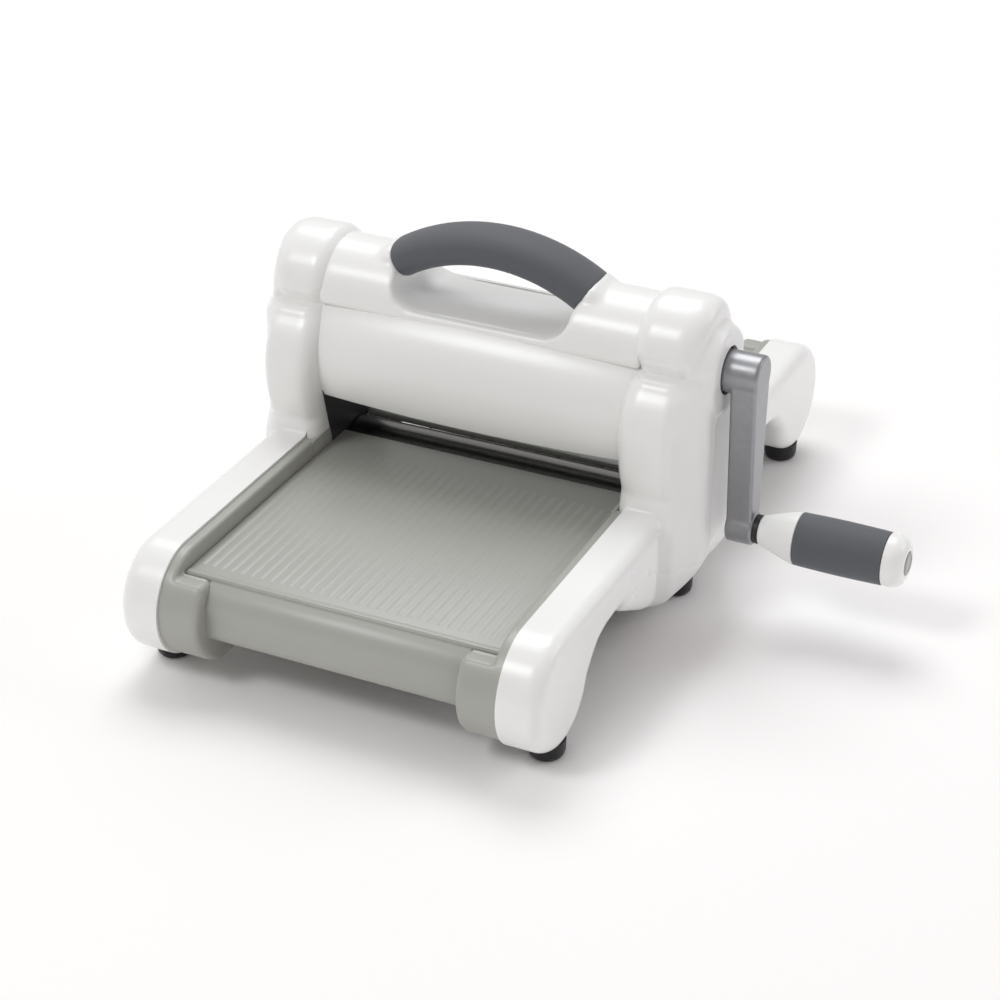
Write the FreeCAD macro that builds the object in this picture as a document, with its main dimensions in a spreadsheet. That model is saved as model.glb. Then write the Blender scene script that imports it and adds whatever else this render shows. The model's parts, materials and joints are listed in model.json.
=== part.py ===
# Hand-cranked die cutting machine, built as a parametric document.
# X runs across the machine (crank on +X), Y from front (-Y) to rear, Z up from the table.
# The origin is on the table, under the middle of the tower. All sizes are millimetres.
import FreeCAD, Part
import math
import os
import Sketcher
from FreeCAD import Placement, Rotation, Vector

SIZES = {
    # feed opening, seams and outer faces, as distances from the middle plane
    "opening_half": 79.3,
    "seam_gap": 5.2,
    "arm_width": 20.5,
    "pod_width": 25.5,
    "shield_rise": 7.0,
    "boss_rise": 1.0,
    "boss_radius": 20.0,
    "wall": 2.6,
    "fit_gap": 0.3,
    # tower outline, as distances from the middle and from the axes of the rollers and crank
    "crown_half": 28.0,
    "crown_rise": 34.0,
    "crease_half": 26.0,
    "crease_rise": 3.5,
    "crown_round": 17.36,
    "shoulder_drop": 6.5,
    "shoulder_inset": 3.6,
    "gear_room": 18.1,
    "bulge_rise": 19.5,
    "bulge_drop": 4.5,
    "bulge_foot": 14.0,
    "skirt_inset": 2.6,
    "skirt_bottom": 8.0,
    # arms, bulbs and feet
    "bulb_y": 152.7,
    "bulb_radius": 28.3,
    "bulb_bottom": 7.3,
    "arm_depth": 19.9,
    "gusset_reach": 92.0,
    "foot_radius": 9.0,
    "foot_recess": 1.0,
    "foot_set_back": 1.7,
    "foot_side_inset": 9.43,
    # rollers and gears
    "gear_cover_gap": 1.4,
    "roller_radius": 17.0,
    "roller_gap": 0.8,
    "journal_radius": 9.0,
    "gear_seat_radius": 8.0,
    "bush_wall": 3.0,
    "running_gap": 0.05,
    "gear_module": 2.0,
    "gear_teeth": 25.0,
    "pinion_teeth": 11.0,
    "gear_width": 10.0,
    "gear_addendum": 1.5,
    "pinion_addendum": 2.0,
    "root_gap": 0.5,
    "backlash": 0.15,
    "gear_plate_gap": 1.3,
    "end_play": 0.5,
    "shelf_gap": 0.1,
    "roller_chamfer": 0.8,
    # steel frame
    "plate_gap": 1.5,
    "plate_thickness": 4.0,
    "rod_radius": 4.0,
    "nut_radius": 6.0,
    "nut_height": 5.0,
    "screw_radius": 1.5,
    "screw_head_radius": 3.0,
    "screw_head_height": 2.2,
    "post_radius": 4.0,
    "cover_post_half": 17.0,
    "cover_post_rise": 13.5,
    "cover_post_inset": 9.0,
    "cover_post_low_rise": 17.5,
    "inner_post_gap": 3.5,
    "inner_post_rise": 19.5,
    "inner_post_low_gap": 7.5,
    "inner_post_low_drop": 0.5,
    "rod_top_gap": 7.0,
    "rod_top_drop": 6.5,
    "rod_low_gap": 4.5,
    "rod_low_rise": 12.0,
    # tray, nose bar and cheeks
    "tray_thickness": 3.0,
    "tray_drop": 1.0,
    "tray_over_roller": 5.0,
    "tray_past_bulb": 10.3,
    "nose_past_bulb": 18.8,
    "nose_bottom": 24.5,
    "nose_top_round": 7.5,
    "nose_low_round": 6.0,
    "ledge_thickness": 2.6,
    "tray_screw_near": 62.0,
    "tray_screw_far": 112.0,
    "lobe_width": 15.3,
    "lobe_step": 1.3,
    # upper housing and handle
    "housing_half": 26.0,
    "housing_drop": 3.5,
    "barrel_end_radius": 35.5,
    "barrel_mid_radius": 39.5,
    "barrel_drop": 23.5,
    "panel_cut_drop": 41.5,
    "arch_radius": 100.0,
    "arch_height": 18.0,
    "arch_half_depth": 14.0,
    "arch_drop": 51.3,
    "grip_half_angle": 32.0,
    "core_inset": 4.0,
    "finger_half": 47.0,
    "finger_floor_rise": 8.5,
    # crank and grip
    "shaft_radius": 6.0,
    "hub_radius": 10.2,
    "hub_well_gap": 1.5,
    "hub_well_depth": 5.0,
    "arm_start": 4.0,
    "arm_bar_width": 13.0,
    "arm_top_half": 9.6,
    "arm_low_half": 5.9,
    "crank_reach": 80.0,
    "crank_eye_radius": 8.3,
    "spindle_radius": 4.0,
    "grip_radius": 12.75,
    "grip_neck_radius": 7.4,
    "collar_length": 19.0,
    "sleeve_length": 43.0,
    "cap_length": 10.0,
    "core_radius": 10.0,
    "key_width": 3.0,
    "ring_width": 1.2,
    "ring_depth": 0.8,
}
SQRT3 = math.sqrt(3)
PRESSURE_ANGLE = math.radians(20)
FLANK_POINTS = 6

doc = FreeCAD.newDocument("die_cutting_machine")
sheet = doc.addObject("Spreadsheet::Sheet", "sizes")
nodes = []


class Size:
    """A length, with the sheet expression that gives it."""

    def __init__(self, value, text):
        self.value = value
        self.text = text

    def __add__(self, other):
        other = as_size(other)
        return Size(self.value + other.value, f"({self.text} + {other.text})")

    def __sub__(self, other):
        other = as_size(other)
        return Size(self.value - other.value, f"({self.text} - {other.text})")

    def __mul__(self, other):
        other = as_size(other)
        return Size(self.value * other.value, f"({self.text} * {other.text})")

    def __truediv__(self, other):
        other = as_size(other)
        return Size(self.value / other.value, f"({self.text} / {other.text})")

    def __neg__(self):
        return Size(-self.value, f"(0 - {self.text})")

    def __rsub__(self, other):
        return as_size(other) - self

    __radd__ = __add__
    __rmul__ = __mul__


def as_size(number):
    """Turn a plain number into a Size, and leave a Size as it is."""
    if isinstance(number, Size):
        return number
    return Size(float(number), f"({float(number)!r})")


def fill_sheet():
    """Write every driving size into the sheet under its own alias."""
    for row, (alias, number) in enumerate(SIZES.items(), start=1):
        sheet.set(f"A{row}", alias)
        sheet.set(f"B{row}", str(number))
        sheet.setAlias(f"B{row}", alias)
    doc.recompute()


def size(alias):
    """The named cell of the sheet as a Size."""
    return Size(float(sheet.get(alias)), f"sizes.{alias}")


def node(shape_object, label):
    """Name a finished piece and put it on the list of pieces to write."""
    shape_object.Label = label
    nodes.append(shape_object)
    return shape_object


def origin_plane(body, role):
    """The body's own origin plane with this role."""
    for feature in body.Origin.OriginFeatures:
        if feature.Role == role:
            return feature
    raise ValueError(f"no origin plane {role}")


def bind(target, **expressions):
    """Bind properties to sizes; a double underscore stands for a dot."""
    for path, length in expressions.items():
        target.setExpression(path.replace("__", "."), as_size(length).text)


def outline_sketch(body, role, points, offset):
    """A closed outline of straight lines on an origin plane, each corner tied to the sheet."""
    sketch = body.newObject("Sketcher::SketchObject", body.Name + "_outline")
    sketch.AttachmentSupport = (origin_plane(body, role), "")
    sketch.MapMode = "FlatFace"
    bind(sketch, AttachmentOffset__Base__z=offset)
    corners = [(as_size(a), as_size(b)) for a, b in points]
    places = [Vector(a.value, b.value, 0) for a, b in corners]
    count = len(places)
    for i in range(count):
        sketch.addGeometry(Part.LineSegment(places[i], places[(i + 1) % count]), False)
    for i in range(count):
        sketch.addConstraint(Sketcher.Constraint("Coincident", i, 2, (i + 1) % count, 1))
    for i, (a, b) in enumerate(corners):
        for kind, length in (("DistanceX", a), ("DistanceY", b)):
            index = sketch.addConstraint(Sketcher.Constraint(kind, -1, 1, i, 1, length.value))
            sketch.setExpression(f"Constraints[{index}]", length.text)
    return sketch


def check_grown(body, feature, before):
    """Stop if a feature left the body as it was."""
    doc.recompute()
    if abs(body.Shape.Volume - before) < 1e-6:
        raise ValueError(f"{feature.Label} changed nothing on {body.Label}")


def round_corners(body, corners, role):
    """Fillet the straight edges that stand on these outline corners: (a, b, radius)."""
    across = {"YZ_Plane": (1, 2), "XZ_Plane": (0, 2), "XY_Plane": (0, 1)}[role]
    for a, b, radius in corners:
        doc.recompute()
        base = body.Tip
        names = []
        for number, edge in enumerate(base.Shape.Edges, start=1):
            ends = [vertex.Point for vertex in edge.Vertexes]
            near = [
                abs(end[across[0]] - as_size(a).value) < 0.01
                and abs(end[across[1]] - as_size(b).value) < 0.01
                for end in ends
            ]
            if len(ends) == 2 and all(near):
                names.append(f"Edge{number}")
        before = body.Shape.Volume
        fillet = body.newObject("PartDesign::Fillet", body.Name + "_round")
        fillet.Base = (base, names)
        bind(fillet, Radius=radius)
        check_grown(body, fillet, before)


def slab(label, points, span, role="YZ_Plane", rounds=()):
    """An outline padded between two planes; span is the (low, high) place along its normal."""
    low, high = as_size(span[0]), as_size(span[1])
    body = doc.addObject("PartDesign::Body", label)
    start = -high if role == "XZ_Plane" else low
    sketch = outline_sketch(body, role, points, start)
    pad = body.newObject("PartDesign::Pad", label + "_pad")
    pad.Profile = sketch
    bind(pad, Length=high - low)
    doc.recompute()
    round_corners(body, rounds, role)
    return body


TURNS = {
    "X": Rotation(),
    "Y": Rotation(Vector(0, 0, 1), 90),
    "Z": Rotation(Vector(0, 1, 0), -90),
}


def turned(label, outline, axis="X", place=(0, 0, 0)):
    """A lathe-turned piece: outline is (along, radius) pairs about an axis through place."""
    body = doc.addObject("PartDesign::Body", label)
    sketch = outline_sketch(body, "XY_Plane", outline, 0)
    turn = body.newObject("PartDesign::Revolution", label + "_turn")
    turn.Profile = sketch
    turn.ReferenceAxis = (sketch, ["H_Axis"])
    turn.Angle = 360
    body.Placement = Placement(Vector(), TURNS[axis])
    move(body, place)
    return body


def move(piece, place):
    """Tie a piece's place to the sheet."""
    x, y, z = place
    bind(piece, Placement__Base__x=x, Placement__Base__y=y, Placement__Base__z=z)


def rod(label, axis, start, radius, length):
    """A plain cylinder from start along +axis."""
    cylinder = doc.addObject("Part::Cylinder", label)
    spin = {"X": Rotation(Vector(0, 1, 0), 90), "Y": Rotation(Vector(1, 0, 0), -90), "Z": Rotation()}
    cylinder.Placement = Placement(Vector(), spin[axis])
    bind(cylinder, Radius=radius, Height=length)
    move(cylinder, start)
    return cylinder


def block(label, x_span, y_span, z_span):
    """A plain box between two corners."""
    box = doc.addObject("Part::Box", label)
    spans = [(as_size(low), as_size(high)) for low, high in (x_span, y_span, z_span)]
    bind(
        box,
        Length=spans[0][1] - spans[0][0],
        Width=spans[1][1] - spans[1][0],
        Height=spans[2][1] - spans[2][0],
    )
    move(box, [low for low, high in spans])
    return box


def join(label, pieces):
    """One solid from several that meet."""
    fuse = doc.addObject("Part::MultiFuse", label)
    fuse.Shapes = pieces
    fuse.Refine = True
    return fuse


def cut(label, base, tools):
    """A piece with the tools taken out of it."""
    result = doc.addObject("Part::Cut", label)
    result.Base = base
    result.Tool = tools[0] if len(tools) == 1 else join(label + "_tools", tools)
    result.Refine = True
    return result


def common(label, pieces):
    """The space that all the pieces share."""
    result = doc.addObject("Part::MultiCommon", label)
    result.Shapes = pieces
    result.Refine = True
    return result


def group(label, pieces):
    """Identical fasteners kept together as separate solids."""
    compound = doc.addObject("Part::Compound", label)
    compound.Links = pieces
    return compound


def side_span(side, near, far):
    """A span in X on the right (side 1) or the left (side -1)."""
    near, far = as_size(near), as_size(far)
    return (near, far) if side > 0 else (-far, -near)


fill_sheet()

opening_half = size("opening_half")
seam = opening_half + size("seam_gap")
arm_out = seam + size("arm_width")
pod_out = seam + size("pod_width")
shield_out = pod_out + size("shield_rise")
boss_out = shield_out + size("boss_rise")
wall = size("wall")
fit_gap = size("fit_gap")

gear_pitch = size("gear_module") * size("gear_teeth") / 2
pinion_pitch = size("gear_module") * size("pinion_teeth") / 2
gear_tip = gear_pitch + size("gear_addendum")
skirt_bottom = size("skirt_bottom")
pinion_tip = pinion_pitch + size("pinion_addendum")
gear_root = gear_pitch + pinion_pitch - pinion_tip - size("root_gap")
pinion_root = gear_pitch + pinion_pitch - gear_tip - size("root_gap")
lower_z = skirt_bottom + wall + gear_tip + size("gear_cover_gap")
upper_z = lower_z + gear_pitch * 2
crank_z = upper_z + gear_pitch + pinion_pitch
roller_radius = size("roller_radius")
roller_half = opening_half - size("roller_gap")
journal = size("journal_radius")
gear_seat = size("gear_seat_radius")

plate_in = seam + size("plate_gap")
plate_out = plate_in + size("plate_thickness")
gear_in = plate_out + size("gear_plate_gap")
gear_out = gear_in + size("gear_width")

crown_half = size("crown_half")
crown_top = crank_z + size("crown_rise")
crease_half = size("crease_half")
crease_z = crank_z + size("crease_rise")
shoulder_z = crank_z - size("shoulder_drop")
bulge_half = gear_tip + size("gear_room")
bulge_high = upper_z + size("bulge_rise")
bulge_low = upper_z - size("bulge_drop")
shoulder_half = bulge_half - size("shoulder_inset")
skirt_half = bulge_half - size("skirt_inset")
skirt_top = bulge_low - size("bulge_foot")

bulb_y = size("bulb_y")
bulb_radius = size("bulb_radius")
bulb_z = size("bulb_bottom") + bulb_radius
arm_top = bulb_z + bulb_radius
arm_low = arm_top - size("arm_depth")

tray_top = lower_z + roller_radius - size("tray_drop")
tray_under = tray_top - size("tray_thickness")
tray_front = bulb_y + size("tray_past_bulb")
nose_front = bulb_y + size("nose_past_bulb")

foot_x = arm_out - size("foot_side_inset")
foot_y = bulb_y - size("foot_set_back")
foot_places = {"front": -foot_y, "middle": as_size(0), "rear": foot_y}


def tower_outline(inset):
    """The tower's side outline, drawn in by the inset."""
    half = [
        (skirt_half - inset, skirt_bottom + inset),
        (skirt_half - inset, skirt_top),
        (bulge_half - inset, bulge_low),
        (bulge_half - inset, bulge_high),
        (shoulder_half - inset, shoulder_z),
        (crease_half - inset, crease_z),
        (crown_half + 1 - inset, crease_z + 9),
        (crown_half - inset, crown_top - inset),
    ]
    return [(y, z) for y, z in half] + [(-y, z) for y, z in reversed(half)]


def tower_rounds(inset):
    """The tower's rounded corners, front and rear."""
    crown = size("crown_round") - inset
    half = [(crown_half - inset, crown_top - inset, crown), (shoulder_half - inset, shoulder_z, 4)]
    return [(y, z, r) for y, z, r in half] + [(-y, z, r) for y, z, r in half]


def arm_outline(inset):
    """Both arms and their gussets as one side outline, drawn in by the inset."""
    half = [
        (skirt_half - 6, skirt_bottom + inset),
        (skirt_half + 4 - inset, skirt_bottom + 6 + inset),
        (size("gusset_reach"), arm_low + inset),
        (bulb_y, arm_low + inset),
        (bulb_y, arm_top - inset),
    ]
    return [(y, z) for y, z in half] + [(-y, z) for y, z in reversed(half)]


def cover_post_places():
    """Where the side covers are screwed to the steel plates."""
    high = crank_z + size("cover_post_rise")
    low = lower_z + size("cover_post_low_rise")
    high_half, low_half = size("cover_post_half"), skirt_half - size("cover_post_inset")
    return [(high_half * s, high) for s in (1, -1)] + [(low_half * s, low) for s in (1, -1)]


def inner_post_places():
    """Where the inner covers are screwed to the steel plates."""
    high_half, low_half = gear_tip + size("inner_post_gap"), gear_tip + size("inner_post_low_gap")
    high, low = upper_z + size("inner_post_rise"), lower_z - size("inner_post_low_drop")
    return [(high_half * s, high) for s in (1, -1)] + [(low_half * s, low) for s in (1, -1)]


def rod_places():
    """Where the tie rods join the two steel plates."""
    high_half, low_half = pinion_tip + size("rod_top_gap"), gear_tip + size("rod_low_gap")
    high, low = crank_z - size("rod_top_drop"), skirt_bottom + size("rod_low_rise")
    return [(high_half * s, high) for s in (1, -1)] + [(low_half * s, low) for s in (1, -1)]


def side_cover(side, label):
    """A hollow white cover: tower side, two arms, four gussets and two bulbs."""
    tower = slab(label + "_tower", tower_outline(0), side_span(side, seam, pod_out),
                 rounds=tower_rounds(0))
    arms = slab(label + "_arms", arm_outline(0), side_span(side, seam, arm_out))
    low, high = side_span(side, seam, arm_out)
    bulbs = [
        rod(f"{label}_bulb{k}", "X", (low, bulb_y * s, bulb_z), bulb_radius, high - low)
        for k, s in enumerate((1, -1))
    ]
    low, high = side_span(side, pod_out, shield_out)
    shield = slab(
        label + "_shield",
        [(-20, skirt_bottom + 27), (20, skirt_bottom + 27), (20, crank_z + 18), (-20, crank_z + 18)],
        (low, high),
    )
    outside_parts = [tower, arms, shield] + bulbs
    if side > 0:
        outside_parts.append(
            rod(label + "_boss", "X", (pod_out, 0, crank_z), size("boss_radius"), boss_out - pod_out))
    outside = join(label + "_outside", outside_parts)

    inner_tower = side_span(side, seam, pod_out - wall)
    inner_arm = side_span(side, seam, arm_out - wall)
    hollows = [
        slab(label + "_tower_hollow", tower_outline(wall), inner_tower, rounds=tower_rounds(wall)),
        slab(label + "_arm_hollow", arm_outline(wall), inner_arm),
    ]
    hollows += [
        rod(f"{label}_bulb_hollow{k}", "X", (inner_arm[0], bulb_y * s, bulb_z), bulb_radius - wall,
            inner_arm[1] - inner_arm[0])
        for k, s in enumerate((1, -1))
    ]
    low, high = side_span(side, pod_out, shield_out)
    groove = block(label + "_groove", (low, high), (-12, 12), (skirt_bottom + 31, crank_z - 21))
    low, high = side_span(side, seam, pod_out)
    reach = bulb_y + bulb_radius
    flat = block(label + "_flat", (low, high), (-reach, reach), (0, skirt_bottom))
    foot_wells = [
        rod(f"{label}_foot_well{k}", "Z", (foot_x * side, y, skirt_bottom - 1), size("foot_radius"),
            size("foot_recess") + 1)
        for k, y in enumerate(foot_places.values())
    ]
    shell = cut(label + "_shell", outside, hollows + [groove, flat] + foot_wells)

    low, high = side_span(side, plate_out, pod_out - wall)
    posts = [
        rod(f"{label}_post{k}", "X", (low, y, z), size("post_radius"), high - low)
        for k, (y, z) in enumerate(cover_post_places())
    ]
    pilots = [
        rod(f"{label}_pilot{k}", "X", side_pilot(side, y, z), size("screw_radius"), 10)
        for k, (y, z) in enumerate(cover_post_places())
    ]
    solid = join(label + "_solid", [shell] + posts)
    if side > 0:
        well = boss_out - size("hub_well_depth")
        pilots.append(rod(label + "_hub_well", "X", (well, 0, crank_z),
                          size("hub_radius") + size("hub_well_gap"), size("hub_well_depth") + 1))
        pilots.append(rod(label + "_bush_hole", "X", (pod_out - wall - 1, 0, crank_z),
                          size("shaft_radius") + size("bush_wall"), boss_out - pod_out + wall + 1))
    return node(cut(label, solid, pilots), label)


def side_pilot(side, y, z):
    """Start of a screw hole that runs 10 mm outwards from the outer face of the steel plate."""
    return (plate_out if side > 0 else -plate_out - 10, y, z)


def inner_cover(side, label):
    """The white half of the tower side that faces the feed opening."""
    rim = slab(label + "_rim", tower_outline(0), side_span(side, opening_half, seam),
               rounds=tower_rounds(0))
    hollow = slab(
        label + "_hollow",
        tower_outline(wall),
        side_span(side, opening_half + wall - 0.1, seam),
        rounds=tower_rounds(wall),
    )
    shell = cut(label + "_shell", rim, [hollow])
    low, high = side_span(side, opening_half + 2, plate_in)
    posts = [
        rod(f"{label}_post{k}", "X", (low, y, z), size("post_radius"), high - low)
        for k, (y, z) in enumerate(inner_post_places())
    ]
    solid = join(label + "_solid", [shell] + posts)
    low, high = side_span(side, opening_half - 1, plate_in)
    holes = [
        rod(f"{label}_journal_hole{k}", "X", (low, 0, z), journal + 2, high - low)
        for k, z in enumerate((lower_z, upper_z))
    ]
    low, high = side_span(side, opening_half + 1, plate_in)
    holes += [
        rod(f"{label}_pilot{k}", "X", (low, y, z), size("screw_radius"), high - low)
        for k, (y, z) in enumerate(inner_post_places())
    ]
    low, high = side_span(side, opening_half - 1, plate_in)
    holes += [
        rod(f"{label}_rod_hole{k}", "X", (low, y, z), size("rod_radius") + fit_gap, high - low)
        for k, (y, z) in enumerate(rod_places())
    ]
    return node(cut(label, solid, holes), label)


def side_plate(side, label):
    """The steel plate that carries the rollers, the crank shaft and the tie rods."""
    low, high = side_span(side, plate_in, plate_out)
    half = [
        (skirt_half - wall - 1.4, skirt_bottom + wall + 1.4),
        (skirt_half - wall - 1.4, skirt_top),
        (bulge_half - wall - 3, bulge_low),
        (bulge_half - wall - 3, bulge_high - 2),
        (crown_half - wall - 3, crease_z - 4),
        (crown_half - wall - 3, crank_z + 20.5),
    ]
    outline = [(y, z) for y, z in half] + [(-y, z) for y, z in reversed(half)]
    plate = slab(label + "_blank", outline, (low, high))
    start, length = low - 1, high - low + 2
    bush_hole = journal + size("bush_wall")
    holes = [
        rod(f"{label}_bush_hole{k}", "X", (start, 0, z), bush_hole, length)
        for k, z in enumerate((lower_z, upper_z))
    ]
    holes += [
        rod(f"{label}_rod_hole{k}", "X", (start, y, z), size("rod_radius") - 1, length)
        for k, (y, z) in enumerate(rod_places())
    ]
    holes += [
        rod(f"{label}_screw_hole{k}", "X", (start, y, z), size("screw_radius"), length)
        for k, (y, z) in enumerate(cover_post_places() + inner_post_places())
    ]
    if side > 0:
        holes.append(rod(label + "_crank_hole", "X", (start, 0, crank_z),
                         size("shaft_radius") + size("bush_wall"), length))
    return node(cut(label, plate, holes), label)


def tie_rods():
    """Four shouldered rods, with threaded ends through the plates and a nut on each end."""
    nuts = []
    names = ("upper_rear", "upper_front", "lower_rear", "lower_front")
    reach = plate_out + size("nut_height") + 1
    thin = size("rod_radius") - 1
    for k, (name, (y, z)) in enumerate(zip(names, rod_places())):
        outline = [
            (-reach, 0), (-reach, thin), (-plate_in, thin), (-plate_in, size("rod_radius")),
            (plate_in, size("rod_radius")), (plate_in, thin), (reach, thin), (reach, 0),
        ]
        node(turned(name + "_tie_rod", outline, "X", (0, y, z)), name + "_tie_rod")
        for side in (1, -1):
            low, high = side_span(side, plate_out, plate_out + size("nut_height"))
            nuts.append(hex_nut(f"nut{k}_{'r' if side > 0 else 'l'}", (low, high), y, z))
    node(group("tie_rod_nuts_group", nuts), "tie_rod_nuts")


def hex_nut(label, span, y, z):
    """A hexagon nut about an X axis, bored for the thread."""
    r = size("nut_radius")
    corners = [(y + r * a, z + r * b) for a, b in
               ((1, 0), (0.5, SQRT3 / 2), (-0.5, SQRT3 / 2), (-1, 0), (-0.5, -SQRT3 / 2), (0.5, -SQRT3 / 2))]
    blank = slab(label + "_blank", corners, span)
    bore = rod(label + "_bore", "X", (span[0] - 1, y, z), size("rod_radius") - 1, span[1] - span[0] + 2)
    return cut(label, blank, [bore])


def screw(label, axis, place, head_first, length):
    """A pan-head screw: the head starts at place, and the thread runs along +axis or -axis."""
    shoulder = size("screw_head_height") * head_first
    tip = (size("screw_head_height") + length) * head_first
    outline = [
        (0, 0), (0, size("screw_head_radius")), (shoulder, size("screw_head_radius")),
        (shoulder, size("screw_radius")), (tip, size("screw_radius")), (tip, 0),
    ]
    return turned(label, outline, axis, place)


def frame_screws():
    """The screws of the outer and inner covers, with their heads on the steel plates."""
    head = size("screw_head_height")
    outer, inner = [], []
    for side in (1, -1):
        for k, (y, z) in enumerate(cover_post_places()):
            place = ((plate_in - head) * side, y, z)
            outer.append(screw(f"cover_screw_{side}_{k}", "X", place, side, size("plate_thickness") + 9))
        for k, (y, z) in enumerate(inner_post_places()):
            place = ((plate_out + head) * side, y, z)
            inner.append(screw(f"inner_screw_{side}_{k}", "X", place, -side, size("plate_thickness") + 5))
    node(group("side_cover_screws_group", outer), "side_cover_screws")
    node(group("inner_cover_screws_group", inner), "inner_cover_screws")


def bush(label, place, inner_radius, body_span, flange_span=None):
    """A plain bearing bush, with a flange where it needs one."""
    outer = inner_radius + size("bush_wall")
    bore = inner_radius + size("running_gap")
    if flange_span is None:
        outline = [(body_span[0], bore), (body_span[0], outer), (body_span[1], outer), (body_span[1], bore)]
    else:
        outline = [
            (flange_span[0], bore), (flange_span[0], outer + 2), (flange_span[1], outer + 2),
            (flange_span[1], outer), (body_span[1], outer), (body_span[1], bore),
        ]
    return node(turned(label, outline, "X", place), label)


def bushes():
    """Flanged bushes for the journals and the crank shaft, and the outer crank bush."""
    for side, word in ((1, "right"), (-1, "left")):
        flange = ((plate_in - 1.2) * side, plate_in * side)
        body = (plate_in * side, plate_out * side)
        for height, name in ((lower_z, "lower"), (upper_z, "upper")):
            bush(f"{name}_{word}_bush", (0, 0, height), journal, body, flange)
    bush("crank_inner_bush", (0, 0, crank_z), size("shaft_radius"),
         (plate_in, plate_out), (plate_in - 1.2, plate_in))
    bush("crank_outer_bush", (0, 0, crank_z), size("shaft_radius"),
         (pod_out - wall, boss_out - size("hub_well_depth")))


def involute(base, radius):
    """Polar angle swept by an involute from its base circle out to a radius."""
    stretch = math.sqrt(max((radius / base) ** 2 - 1, 0))
    return stretch - math.atan(stretch)


def toothed_blank(label, teeth, tip_radius, root_radius, first_tooth):
    """A straight-toothed wheel with involute flanks; first_tooth is the angle of one tooth."""
    count = int(round(teeth.value))
    module = size("gear_module").value
    pitch = module * count / 2
    base = pitch * math.cos(PRESSURE_ANGLE)
    tip = tip_radius.value
    root = root_radius.value
    half_pitch_angle = (math.pi * module / 2 - size("backlash").value) / (2 * pitch)
    lean = half_pitch_angle + involute(base, pitch)
    start = max(base, root)
    radii = [start + (tip - start) * i / (FLANK_POINTS - 1) for i in range(FLANK_POINTS)]
    flank = [(r, lean - involute(base, r)) for r in radii]

    def point(radius, angle):
        return Vector(0, radius * math.cos(angle), radius * math.sin(angle))

    edges = []
    for k in range(count):
        middle = first_tooth + 2 * math.pi * k / count
        next_start = middle + 2 * math.pi / count - flank[0][1]
        rising = [point(r, middle - a) for r, a in flank]
        falling = [point(r, middle + a) for r, a in reversed(flank)]
        foot_in = point(root, middle - flank[0][1])
        foot_out = point(root, middle + flank[0][1])
        if root < start - 1e-6:
            edges.append(Part.makeLine(foot_in, rising[0]))
        for side_points in (rising, falling):
            curve = Part.BSplineCurve()
            curve.interpolate(side_points)
            edges.append(curve.toShape())
            if side_points is rising:
                edges.append(Part.makeLine(rising[-1], falling[0]))
        if root < start - 1e-6:
            edges.append(Part.makeLine(falling[-1], foot_out))
        edges.append(Part.makeLine(foot_out, point(root, next_start)))
    face = Part.Face(Part.Wire(Part.__sortEdges__(edges)))
    blank = doc.addObject("Part::Feature", label)
    blank.Shape = face.extrude(Vector(size("gear_width").value, 0, 0))
    return blank


def gear(label, teeth, tip, root, height, bore, first_tooth):
    """A toothed wheel bored for its seat, with a keyway above the bore."""
    blank = toothed_blank(label + "_blank", teeth, tip, root, first_tooth)
    move(blank, (gear_in, 0, height))
    hole = rod(label + "_bore", "X", (gear_in - 1, 0, height), bore, size("gear_width") + 2)
    tools = [hole, keyway(label, height, bore)]
    return node(cut(label, blank, tools), label)


def key_spans(height, seat, grow):
    """The box a key fills: half in the shaft and half in the wheel."""
    half = size("key_width") / 2
    return (
        (gear_in + 1 - grow, gear_out - 1 + grow),
        (-half, half),
        (height + seat - 1.3, height + seat + 1.3),
    )


def keyway(label, height, seat):
    """The slot cut for a key, a little longer than the key."""
    return block(label + "_keyway", *key_spans(height, seat, 0.5))


def key(label, height, seat):
    """A square key that locks a wheel to its shaft."""
    return node(block(label, *key_spans(height, seat, 0)), label)


def ring(label, place, at, radius):
    """A retaining ring in its groove, standing proud of the shaft."""
    groove = radius - size("ring_depth")
    far = at + size("ring_width")
    outline = [(at, groove), (at, radius + 2), (far, radius + 2), (far, groove)]
    return turned(label, outline, "X", place)


def roller(name, height, first_tooth):
    """A steel roller with journals, its gear, key and two retaining rings."""
    label = name + "_roller"
    ring_width = size("ring_width")
    left_ring = -plate_out - size("end_play") - ring_width
    right_ring = gear_out + size("shelf_gap")
    shelf = gear_in - size("shelf_gap")
    low = journal - size("ring_depth")
    small = gear_seat - size("ring_depth")
    edge = size("roller_chamfer")
    outline = [
        (left_ring - 2, 0), (left_ring - 2, journal), (left_ring, journal), (left_ring, low),
        (left_ring + ring_width, low), (left_ring + ring_width, journal),
        (-roller_half, journal), (-roller_half, roller_radius - edge), (-roller_half + edge, roller_radius),
        (roller_half - edge, roller_radius), (roller_half, roller_radius - edge), (roller_half, journal),
        (shelf, journal), (shelf, gear_seat), (right_ring, gear_seat), (right_ring, small),
        (right_ring + ring_width, small), (right_ring + ring_width, gear_seat),
        (right_ring + ring_width + 1.5, gear_seat), (right_ring + ring_width + 1.5, 0),
    ]
    shaft = turned(label + "_turned", outline, "X", (0, 0, height))
    node(cut(label, shaft, [keyway(label, height, gear_seat)]), label)
    gear(label + "_gear", size("gear_teeth"), gear_tip, gear_root, height, gear_seat, first_tooth)
    key(name + "_gear_key", height, gear_seat)
    rings = [
        ring(name + "_ring_left", (0, 0, height), left_ring, journal),
        ring(name + "_ring_right", (0, 0, height), right_ring, gear_seat),
    ]
    node(group(label + "_rings_group", rings), label + "_rings")


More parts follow.
